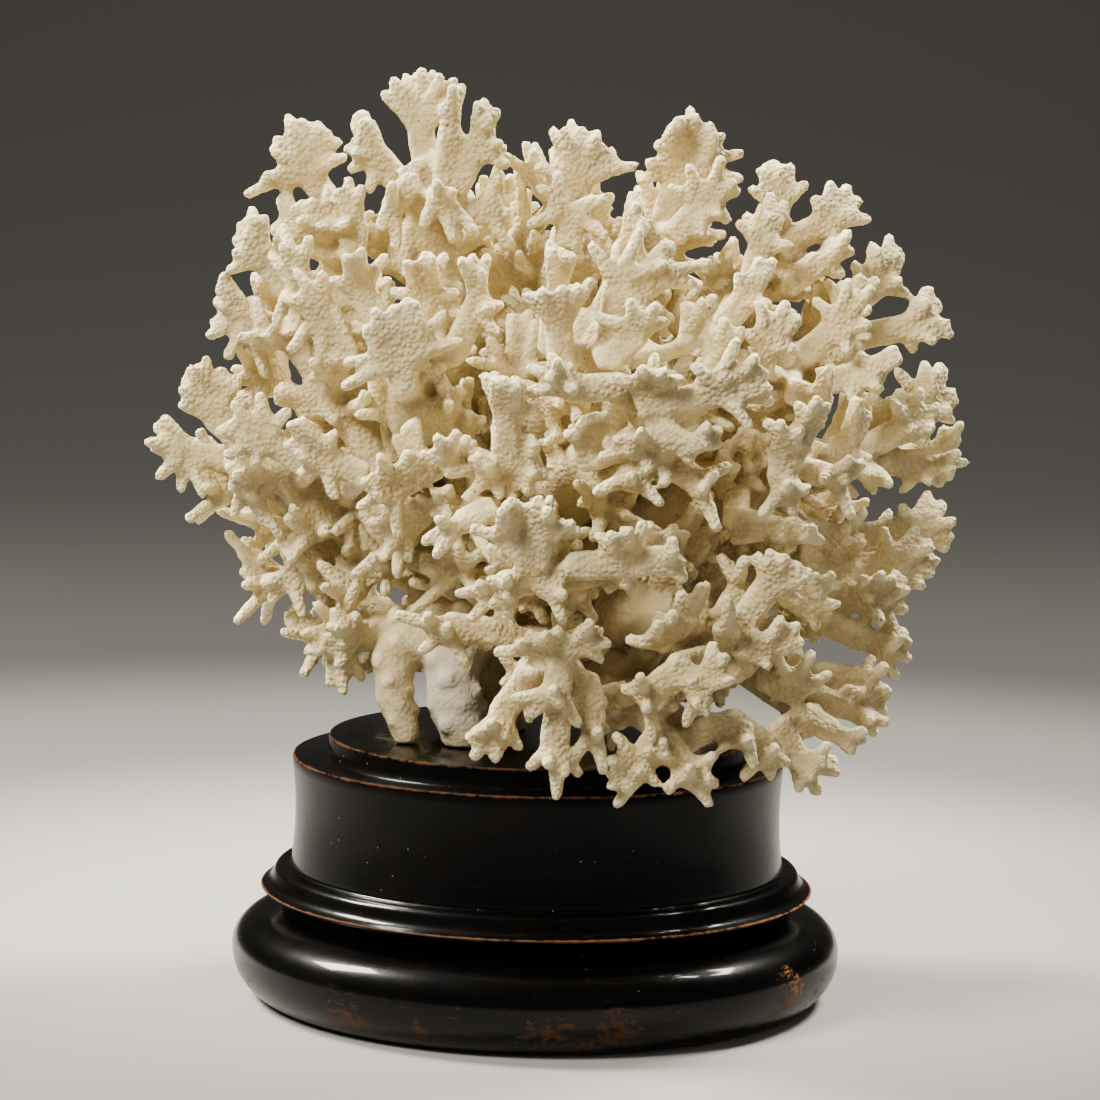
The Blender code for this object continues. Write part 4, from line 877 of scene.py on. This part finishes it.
def coral_finish():
    """Bleached stony coral: honeycombed palms, granular fingers, chalky ridges, hollows browned by dirt and
    painted shade, and painted shade low at the front.
    """
    material, tree, shader = new_finish("bleached_coral", Specular_IOR_Level=0.35)
    place = object_place(tree)
    finger = attribute(tree, "finger")
    shelter = attribute(tree, "shelter")
    ridge = attribute(tree, "ridge")
    patch = noise(tree, place, PATCH_SIZE, detail=2.0)
    wander = noise(tree, place, WANDER_SIZE, detail=2.0)
    grit = noise(tree, place, GRIT_SIZE, detail=1.0)
    outline = cells(tree, place, CORALLITE_PITCH, "DISTANCE_TO_EDGE", 0.85).step(0.13, 0.03)
    grain = cells(tree, place, GRAIN_PITCH, "F1", 0.9)
    palm = 1 - finger
    clear = (1 - shelter * 0.55) * (1 - ridge.step(0.10, 0.35) * 0.7)
    honeycomb = (palm * 0.65 + 0.35) * clear * (patch.step(0.35, 0.60) * 0.75 + 0.25)
    colour = blended(tree, CREAM, OCHRE, patch.step(0.45, 0.8) * 0.35)
    colour = blended(tree, colour, CALIX_AND_LOW_SHADE_TAN, honeycomb * (wander.step(0.3, 0.7) * 0.25 + outline * 0.35))
    colour = blended(tree, colour, CALIX_AND_LOW_SHADE_TAN, grain.step(0.45, 0.75) * finger * wander.step(0.35, 0.6) * 0.45)
    colour = blended(tree, colour, CHALK, ridge.step(0.08, 0.36) * (0.35 + patch * 0.6))
    # Painted shade with some brown dirt: deep hollows and concave creases are darkened to brown, where shade
    # falls.
    hollow = (shelter + ridge.step(0.02, -0.22) * 0.45).at_most(1.0)
    colour = blended(tree, colour, HOLLOW_DIRT_AND_SHADE_BROWN, hollow * (0.5 + wander * 0.5))
    x, y, z = axes_of(tree, place)
    # Painted shade: the lower front of the colony is tinted darker tan, where the light from above falls less.
    colour = blended(tree, colour, CALIX_AND_LOW_SHADE_TAN, z.step(0.100, 0.060) * y.step(0.0, -0.03) * 0.30)
    across, deep, high = [axis - at * MM for axis, at in zip((x, y, z), SCAR_PLACE)]
    away = (across ** 2.0 + deep ** 2.0 + (high * SCAR_FLATNESS) ** 2.0) ** 0.5
    scar = (away + (patch - 0.5) * 0.006).step(*[edge * MM for edge in SCAR_EDGE])
    colour = blended(tree, colour, SCAR_WHITE, scar * 0.6)
    speck = cells(tree, place, SPECK_PITCH, "F1", 1.0).step(0.075, 0.045)
    speck = speck * noise(tree, place, 14.0).step(0.5, 0.56)
    colour = blended(tree, colour, SPECK, speck * 0.9)
    tree.links.new(colour.socket, shader.inputs["Base Color"])
    rough = 0.60 + grit * 0.25
    tree.links.new(rough.socket, shader.inputs["Roughness"])
    relief = grain.step(0.8, 0.1) * (finger * 0.30 + 0.08) + grit * 0.06
    bumped(tree, shader, relief, 1.0)
    return material


def skin_tree():
    """Geometry nodes that raise soft lumps on the coral's skin, and knobbly grains near the finger tips."""
    tree = geometry_tree("coral_skin")
    for name, value in RELIEF_SIZES.items():
        named_input(tree, name, value)
    tree.interface.new_socket("Finish", in_out="INPUT", socket_type="NodeSocketMaterial")
    start = tree.nodes.new("NodeGroupInput")
    end = tree.nodes.new("NodeGroupOutput")
    sizes = {name: Value(tree, start.outputs[name]) for name in RELIEF_SIZES}
    place = laid(tree, "GeometryNodeInputPosition", "Position")
    normal = laid(tree, "GeometryNodeInputNormal", "Normal")
    near_tip = laid(tree, "GeometryNodeInputNamedAttribute", "Attribute", Name="finger")
    lumps = laid(tree, "ShaderNodeTexNoise", "Fac", Vector=place, Scale=1 / (sizes["Lump size"] * MM),
                 Detail=1.0)
    grains = laid(tree, "ShaderNodeTexVoronoi", "Distance", Vector=place,
                  Scale=1 / (sizes["Grain pitch"] * MM), Randomness=0.85)
    height = (lumps - 0.5) * sizes["Lump height"] * (1 - near_tip * 0.5)
    height = height + (0.55 - grains) * sizes["Grain height"] * (near_tip * 0.85 + 0.15)
    shift = tree.nodes.new("ShaderNodeVectorMath")
    shift.operation = "SCALE"
    tree.links.new(normal.socket, shift.inputs[0])
    tree.links.new((height * MM).socket, shift.inputs["Scale"])
    move, real, paint = [tree.nodes.new("GeometryNode" + kind) for kind in
                         ("SetPosition", "RealizeInstances", "SetMaterial")]
    for one, other in zip((start, move, real, paint), (move, real, paint, end)):
        tree.links.new(one.outputs["Geometry"], other.inputs["Geometry"])
    tree.links.new(shift.outputs["Vector"], move.inputs["Offset"])
    tree.links.new(start.outputs["Finish"], paint.inputs["Material"])
    return tree


def coral_piece(name, groups, tips, outer_tips, tree, finish):
    """Fuses one limb's hulls into a skin and gives it its relief."""
    obj = linked(name + "_skin", hull_mesh(name, groups))
    remesh = obj.modifiers.new("Fuse", "REMESH")
    remesh.mode = "VOXEL"
    remesh.voxel_size = SKIN_GRID * MM
    smooth = obj.modifiers.new("Soften", "SMOOTH")
    smooth.factor = 0.5
    smooth.iterations = 2
    settle(obj)
    mesh = obj.data
    drop_islands(mesh)
    if name == "coral_base":
        flatten_feet(mesh)
    add_values(mesh, "finger", np.clip(1 - tip_distance(mesh, tree_of(tips)) / FINGER_REACH, 0, 1) if tips else
               np.zeros(len(mesh.vertices)))
    skin = obj.modifiers.new("Skin", "NODES")
    skin.node_group = tree
    for item in tree.interface.items_tree:
        if item.name == "Finish":
            skin[item.identifier] = finish
    settle(obj)
    mesh = obj.data
    # Depth inside the colony, which the finish uses for painted shade in the hollows.
    deep = (tip_distance(mesh, outer_tips) - SHELTER_START) / (SHELTER_END - SHELTER_START)
    add_values(mesh, "shelter", np.clip(deep, 0, 1))
    add_values(mesh, "ridge", ridges(mesh, 5))
    mesh.shade_smooth()
    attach(obj, "root")
    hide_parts(name)


def flatten_feet(mesh):
    """Cuts the colony off flat where it stands on the disc."""
    floor = (DISC_TOP + 0.25) * MM
    flat = places(mesh).copy()
    flat[:, 2] = np.maximum(flat[:, 2], floor)
    mesh.vertices.foreach_set("co", flat.ravel())


# Colours of the stand.
EBONY = (0.0011, 0.0010, 0.0009, 1.0)
RUBBED_BROWN = (0.075, 0.034, 0.015, 1.0)
BARE_WOOD = (0.20, 0.085, 0.03, 1.0)
UMBER = (0.016, 0.008, 0.005, 1.0)
DUST = (0.36, 0.33, 0.29, 1.0)

# Rubbed edges of the stand as (radius, height, width of the rub), and patches as (x, y, z, size). The bare
# patch is rubbed through to the wood, and fades in from the first of its two distances to the second.
RUBBED_EDGES = (
    (DISC_RADIUS, DISC_TOP, 0.9), (DRUM_RADIUS, DRUM_TOP, 0.8), (COLLAR_RADIUS, COLLAR_EDGE_HEIGHT, 0.8),
)
RUBBED_PATCHES = (
    (45.5, -33, 8, 7), (14.8, -54.5, 6, 6), (3, -55.5, 4, 7), (8, -54, 2.5, 6), (-33, -45, 4.5, 7),
    (-20, -52, 4, 4), (50, -22, 4, 6), (-46, 30, 7, 8), (20, 52, 6, 7), (40, 40, 9, 5),
)
BARE_PATCH = (47.0, -30.0, 10.0)
BARE_EDGE = (7.0, 3.0)

# Patterns on the lacquer, in millimetres.
SMUDGE_SIZE = 11.0
CHIP_SIZE = 1.6
DUST_PITCH = 2.6


def stand_finish():
    """Black lacquer with a gloss, worn to brown wood on its edges and in flecks and rubbed patches."""
    material, tree, shader = new_finish("ebonised_lacquer", Coat_Roughness=0.07, Specular_IOR_Level=0.06)
    place = object_place(tree)
    x, y, z = axes_of(tree, place)
    radius = (x * x + y * y) ** 0.5
    around = y.maths("ARCTAN2", x) * radius
    unrolled = tree.nodes.new("ShaderNodeCombineXYZ")
    tree.links.new((around * 0.22).socket, unrolled.inputs[0])
    tree.links.new(z.socket, unrolled.inputs[1])
    tree.links.new(radius.socket, unrolled.inputs[2])
    turned = Value(tree, unrolled.outputs[0])
    smudge = noise(tree, place, SMUDGE_SIZE, detail=2.0)
    chip = noise(tree, place, CHIP_SIZE, detail=4.0, roughness=0.65)
    streak = noise(tree, turned, 1.0, detail=6.0, roughness=0.75)
    worn = None
    for ring, level, width in RUBBED_EDGES:
        away = ((radius - ring * MM) ** 2.0 + (z - level * MM) ** 2.0) ** 0.5
        edge = away.step(width * MM, 0.2 * width * MM)
        worn = edge if worn is None else worn.at_least(edge)
    edge_wear = (worn * (0.2 + smudge * 0.9) + (chip - 0.5) * 1.2).step(0.38, 0.68) * worn.step(0.05, 0.4)
    rubbed = None
    for px, py, pz, size in RUBBED_PATCHES:
        away = ((x - px * MM) ** 2.0 + (y - py * MM) ** 2.0 + (z - pz * MM) ** 2.0) ** 0.5
        spot = away.step(size * MM, 0.0)
        rubbed = spot if rubbed is None else rubbed.at_least(spot)
    low = (z / MM).step(13.0, 4.0)
    flecks = (streak + rubbed * 0.20 + low * 0.08 * smudge.step(0.35, 0.6)).step(0.59, 0.67)
    flecks = flecks * chip.step(0.42, 0.52) * (rubbed.step(0.0, 0.1).at_least(low) * 0.85 + 0.15)
    wear = edge_wear.at_least(flecks * 0.75)
    specks = cells(tree, place, DUST_PITCH, "F1", 1.0).step(0.07, 0.04)
    specks = specks * noise(tree, place, 18.0).step(0.50, 0.6)
    colour = blended(tree, EBONY, UMBER, smudge.step(0.5, 0.75) * 0.06)
    colour = blended(tree, colour, RUBBED_BROWN, wear * (0.45 + chip * 0.5).at_most(1.0))
    across, deep, high = [axis - at * MM for axis, at in zip((x, y, z), BARE_PATCH)]
    bare = (across ** 2.0 + deep ** 2.0 + high ** 2.0) ** 0.5
    bare = bare.step(*[edge * MM for edge in BARE_EDGE]) * flecks
    bare = bare.at_least(edge_wear * x.step(-0.005, 0.03))
    colour = blended(tree, colour, BARE_WOOD, bare * chip.step(0.3, 0.6))
    colour = blended(tree, colour, DUST, specks * 0.25)
    tree.links.new(colour.socket, shader.inputs["Base Color"])
    fine = laid(tree, "ShaderNodeTexNoise", "Fac", Vector=place, Scale=900.0, Detail=0.0)
    tree.links.new((0.22 + smudge * 0.12 + wear * 0.3 + specks * 0.3).socket, shader.inputs["Roughness"])
    tree.links.new(((1 - wear) * 0.27).socket, shader.inputs["Coat Weight"])
    bumped(tree, shader, fine * 0.012 + smudge * 0.03, 1.0)
    return material


def arc(centre, radius, start, end, steps):
    """Points of an arc in the (r, z) plane, with angles in degrees."""
    for step in range(steps + 1):
        angle = math.radians(start + (end - start) * step / steps)
        yield centre[0] + radius * math.cos(angle), centre[1] + radius * math.sin(angle)


def turned_piece(name, node, profile, finish):
    """A solid of revolution from an (r, z) profile that runs top to bottom."""
    mesh = bpy.data.meshes.new(name)
    points = [(r * MM, 0.0, z * MM) for r, z in profile]
    mesh.from_pydata(points, [(i, i + 1) for i in range(len(points) - 1)], [])
    obj = linked(name, mesh)
    screw = obj.modifiers.new("Turn", "SCREW")
    screw.steps = STAND_SIDES
    screw.render_steps = STAND_SIDES
    screw.use_merge_vertices = True
    screw.merge_threshold = 0.01 * MM
    settle(obj)
    obj.data.materials.append(finish)
    obj.data.shade_smooth()
    obj.data.set_sharp_from_angle(angle=math.radians(38))
    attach(obj, "root")
    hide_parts(node)


def make_stand(finish):
    half = FOOT_HEIGHT / 2
    foot = [(0, COLLAR_TOP), (DRUM_RADIUS, COLLAR_TOP), (DRUM_RADIUS + 0.05, COLLAR_TOP - 0.6)]
    foot += list(arc((DRUM_RADIUS + 0.75, COLLAR_TOP - 0.6), 0.7, 186, 262, 4))
    foot += list(arc((DRUM_RADIUS + 1.6, COLLAR_TOP - 3.0), 1.7, 88, 16, 8))
    foot += list(arc((COLLAR_RADIUS + 0.2, COLLAR_EDGE_HEIGHT + 2.7), 2.5, 200, 250, 6))
    foot += [(COLLAR_RADIUS, COLLAR_EDGE_HEIGHT), (COLLAR_RADIUS - 0.4, COLLAR_EDGE_HEIGHT - 0.5)]
    foot += list(arc((FILLET_RADIUS + 4.4, FOOT_HEIGHT + 0.2), 4.4, 112, 178, 8))
    foot += [(FILLET_RADIUS, FOOT_HEIGHT + 0.1)]
    for r, z in arc((0, 0), 1, 78, -82, 28):
        rise = FOOT_HEIGHT - FOOT_WIDEST if z > 0 else FOOT_WIDEST
        foot.append((FOOT_RADIUS - half + half * r, FOOT_WIDEST + rise * z))
    foot += [(FOOT_RADIUS - half - 1.5, 0.4), (FOOT_RADIUS - half - 2.5, 0), (0, 0)]
    turned_piece("turned_foot", "stand_foot", foot, finish)
    low = COLLAR_TOP - 0.1
    drum = [(0, DRUM_TOP), (DRUM_RADIUS - 0.5, DRUM_TOP), (DRUM_RADIUS - 0.12, DRUM_TOP - 0.1)]
    drum.append((DRUM_RADIUS, DRUM_TOP - 0.5))
    for step in range(1, WALL_STEPS):
        level = DRUM_TOP - 0.5 + (low - DRUM_TOP + 0.5) * step / WALL_STEPS
        hollow = math.sin(math.pi * step / WALL_STEPS)
        drum.append((DRUM_RADIUS + (DRUM_WAIST - DRUM_RADIUS) * hollow, level))
    drum += [(DRUM_RADIUS, low), (0, low)]
    turned_piece("turned_drum", "stand_drum", drum, finish)
    low = DRUM_TOP - 0.1
    disc = [(0, DISC_TOP), (DISC_RADIUS - 0.7, DISC_TOP), (DISC_RADIUS - 0.15, DISC_TOP - 0.12)]
    disc += [(DISC_RADIUS, DISC_TOP - 0.6), (DISC_RADIUS - 0.1, low + 1.5)]
    disc += [(DISC_RADIUS + 0.2, low + 0.6), (DISC_RADIUS + 0.6, low), (0, low)]
    turned_piece("turned_disc", "stand_top_disc", disc, finish)


# Colours of the sweep, each with its distance in metres from the pool of light: a painted pool of light, darker
# further away.
PAINTED_LIGHT_POOL_COLOURS = (
    ((0.303, 0.293, 0.276, 1.0), 0.08), ((0.089, 0.0865, 0.081, 1.0), 0.24),
    ((0.0163, 0.0157, 0.0146, 1.0), 0.42), ((0.0110, 0.0104, 0.0096, 1.0), 0.8),
    ((0.0084, 0.0079, 0.0071, 1.0), 1.4),
)
# Painted shade on the floor in front of the stand.
SHADED_FLOOR = (0.036, 0.034, 0.032, 1.0)
SWEEP_START = 0.9
SWEEP_RADIUS = 0.7


def make_stage():
    """A floor that sweeps up into a backdrop, pale in a painted pool of light round the stand and darker away
    from it, with painted shade on the floor in front.
    """
    material, tree, shader = new_finish("studio_sweep", Roughness=0.8)
    x, y, z = axes_of(tree, object_place(tree))
    # Painted light: the colour darkens with distance from the centre of the pool.
    away = (x * x + (y - 0.06) ** 2.0 + z * z) ** 0.5
    colour = PAINTED_LIGHT_POOL_COLOURS[0][0]
    for (_, start), (far, end) in zip(PAINTED_LIGHT_POOL_COLOURS, PAINTED_LIGHT_POOL_COLOURS[1:]):
        colour = blended(tree, colour, far, away.step(start, end))
    # Painted shade: the floor in front of the stand is darkened.
    colour = blended(tree, colour, SHADED_FLOOR, y.step(-0.10, -0.19))
    tree.links.new(colour.socket, shader.inputs["Base Color"])
    profile = [(-1.6, 0.0), (SWEEP_START, 0.0)]
    for turn in map(math.radians, range(6, 91, 6)):
        along = SWEEP_START + SWEEP_RADIUS * math.sin(turn)
        profile.append((along, SWEEP_RADIUS - SWEEP_RADIUS * math.cos(turn)))
    profile.append((1.6, 2.6))
    corners = []
    faces = []
    for y_at, z_at in profile:
        corners += [(-3.0, y_at, z_at), (3.0, y_at, z_at)]
    for i in range(len(profile) - 1):
        faces.append((2 * i, 2 * i + 1, 2 * i + 3, 2 * i + 2))
    mesh = bpy.data.meshes.new("studio_sweep")
    mesh.from_pydata(corners, [], faces)
    sweep = linked("studio_sweep", mesh)
    mesh.materials.append(material)
    mesh.shade_smooth()


# Soft boxes: name, place and size in metres, watts, and whether the lacquer mirrors it.
SOFT_BOXES = (
    ("left_soft_box", (-0.78, 0.28, 0.95), (0.30, 0.36), 56.0, True),
    ("right_soft_box", (0.60, 0.365, 1.06), (0.32, 0.36), 46.0, True),
    ("front_key", (-0.85, -0.80, 1.2), (0.5, 0.5), 56.0, False),
    ("front_fill", (0.7, -1.4, 0.7), (1.6, 1.4), 6.0, False),
)
LIGHT_COLOUR = (1.0, 0.945, 0.85)
LIGHT_TARGET = (0, 0, 0.09)
ROOM_COLOUR = (0.95, 0.96, 1.0, 1.0)
ROOM_STRENGTH = 0.08


def make_lights():
    for name, place, size, power, mirrored in SOFT_BOXES:
        light = bpy.data.lights.new(name, "AREA")
        light.shape = "RECTANGLE"
        light.size, light.size_y = size
        light.energy = power
        light.color = LIGHT_COLOUR
        obj = bpy.data.objects.new(name, light)
        obj.location = place
        obj.rotation_euler = (Vector(LIGHT_TARGET) - Vector(place)).to_track_quat("-Z", "Y").to_euler()
        obj.visible_glossy = mirrored
        bpy.context.scene.collection.objects.link(obj)
    world = bpy.data.worlds.new("studio")
    world.use_nodes = True
    world.node_tree.nodes["Background"].inputs["Color"].default_value = ROOM_COLOUR
    world.node_tree.nodes["Background"].inputs["Strength"].default_value = ROOM_STRENGTH
    bpy.context.scene.world = world


# The camera: distance and height in metres, angles in radians.
CAMERA_DISTANCE = 0.6674
CAMERA_HEIGHT = 0.1561
CAMERA_PITCH = 0.1083
CAMERA_YAW = 0.0022
CAMERA_ROLL = 0.0177
FOCAL_PIXELS = 3600.0
FRAME_PIXELS = 1100.0
SENSOR_WIDTH = 36.0


def make_camera():
    camera = bpy.data.cameras.new("camera")
    camera.sensor_fit = "HORIZONTAL"
    camera.sensor_width = SENSOR_WIDTH
    camera.lens = SENSOR_WIDTH * FOCAL_PIXELS / FRAME_PIXELS
    camera.clip_start = 0.01
    camera.clip_end = 20.0
    obj = bpy.data.objects.new("camera", camera)
    bpy.context.scene.collection.objects.link(obj)
    level = math.cos(CAMERA_PITCH)
    forward = Vector((math.sin(CAMERA_YAW) * level, math.cos(CAMERA_YAW) * level, -math.sin(CAMERA_PITCH)))
    right = forward.cross(Vector((0, 0, 1))).normalized()
    up = right.cross(forward)
    tilted_right = right * math.cos(CAMERA_ROLL) + up * math.sin(CAMERA_ROLL)
    tilted_up = up * math.cos(CAMERA_ROLL) - right * math.sin(CAMERA_ROLL)
    turn = Matrix((tilted_right, tilted_up, -forward)).transposed()
    obj.matrix_world = Matrix.Translation((0, -CAMERA_DISTANCE, CAMERA_HEIGHT)) @ turn.to_4x4()
    bpy.context.scene.camera = obj


def main():
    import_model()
    make_camera()
    make_lights()
    make_stage()
    make_stand(stand_finish())
    pieces = grown_coral()
    outer_tips = tree_of([tip for _, tips, _ in pieces.values() for tip in tips])
    tree = skin_tree()
    finish = coral_finish()
    for name, (groups, tips, twig_tips) in pieces.items():
        coral_piece(name, groups, tips + twig_tips, outer_tips, tree, finish)


main()
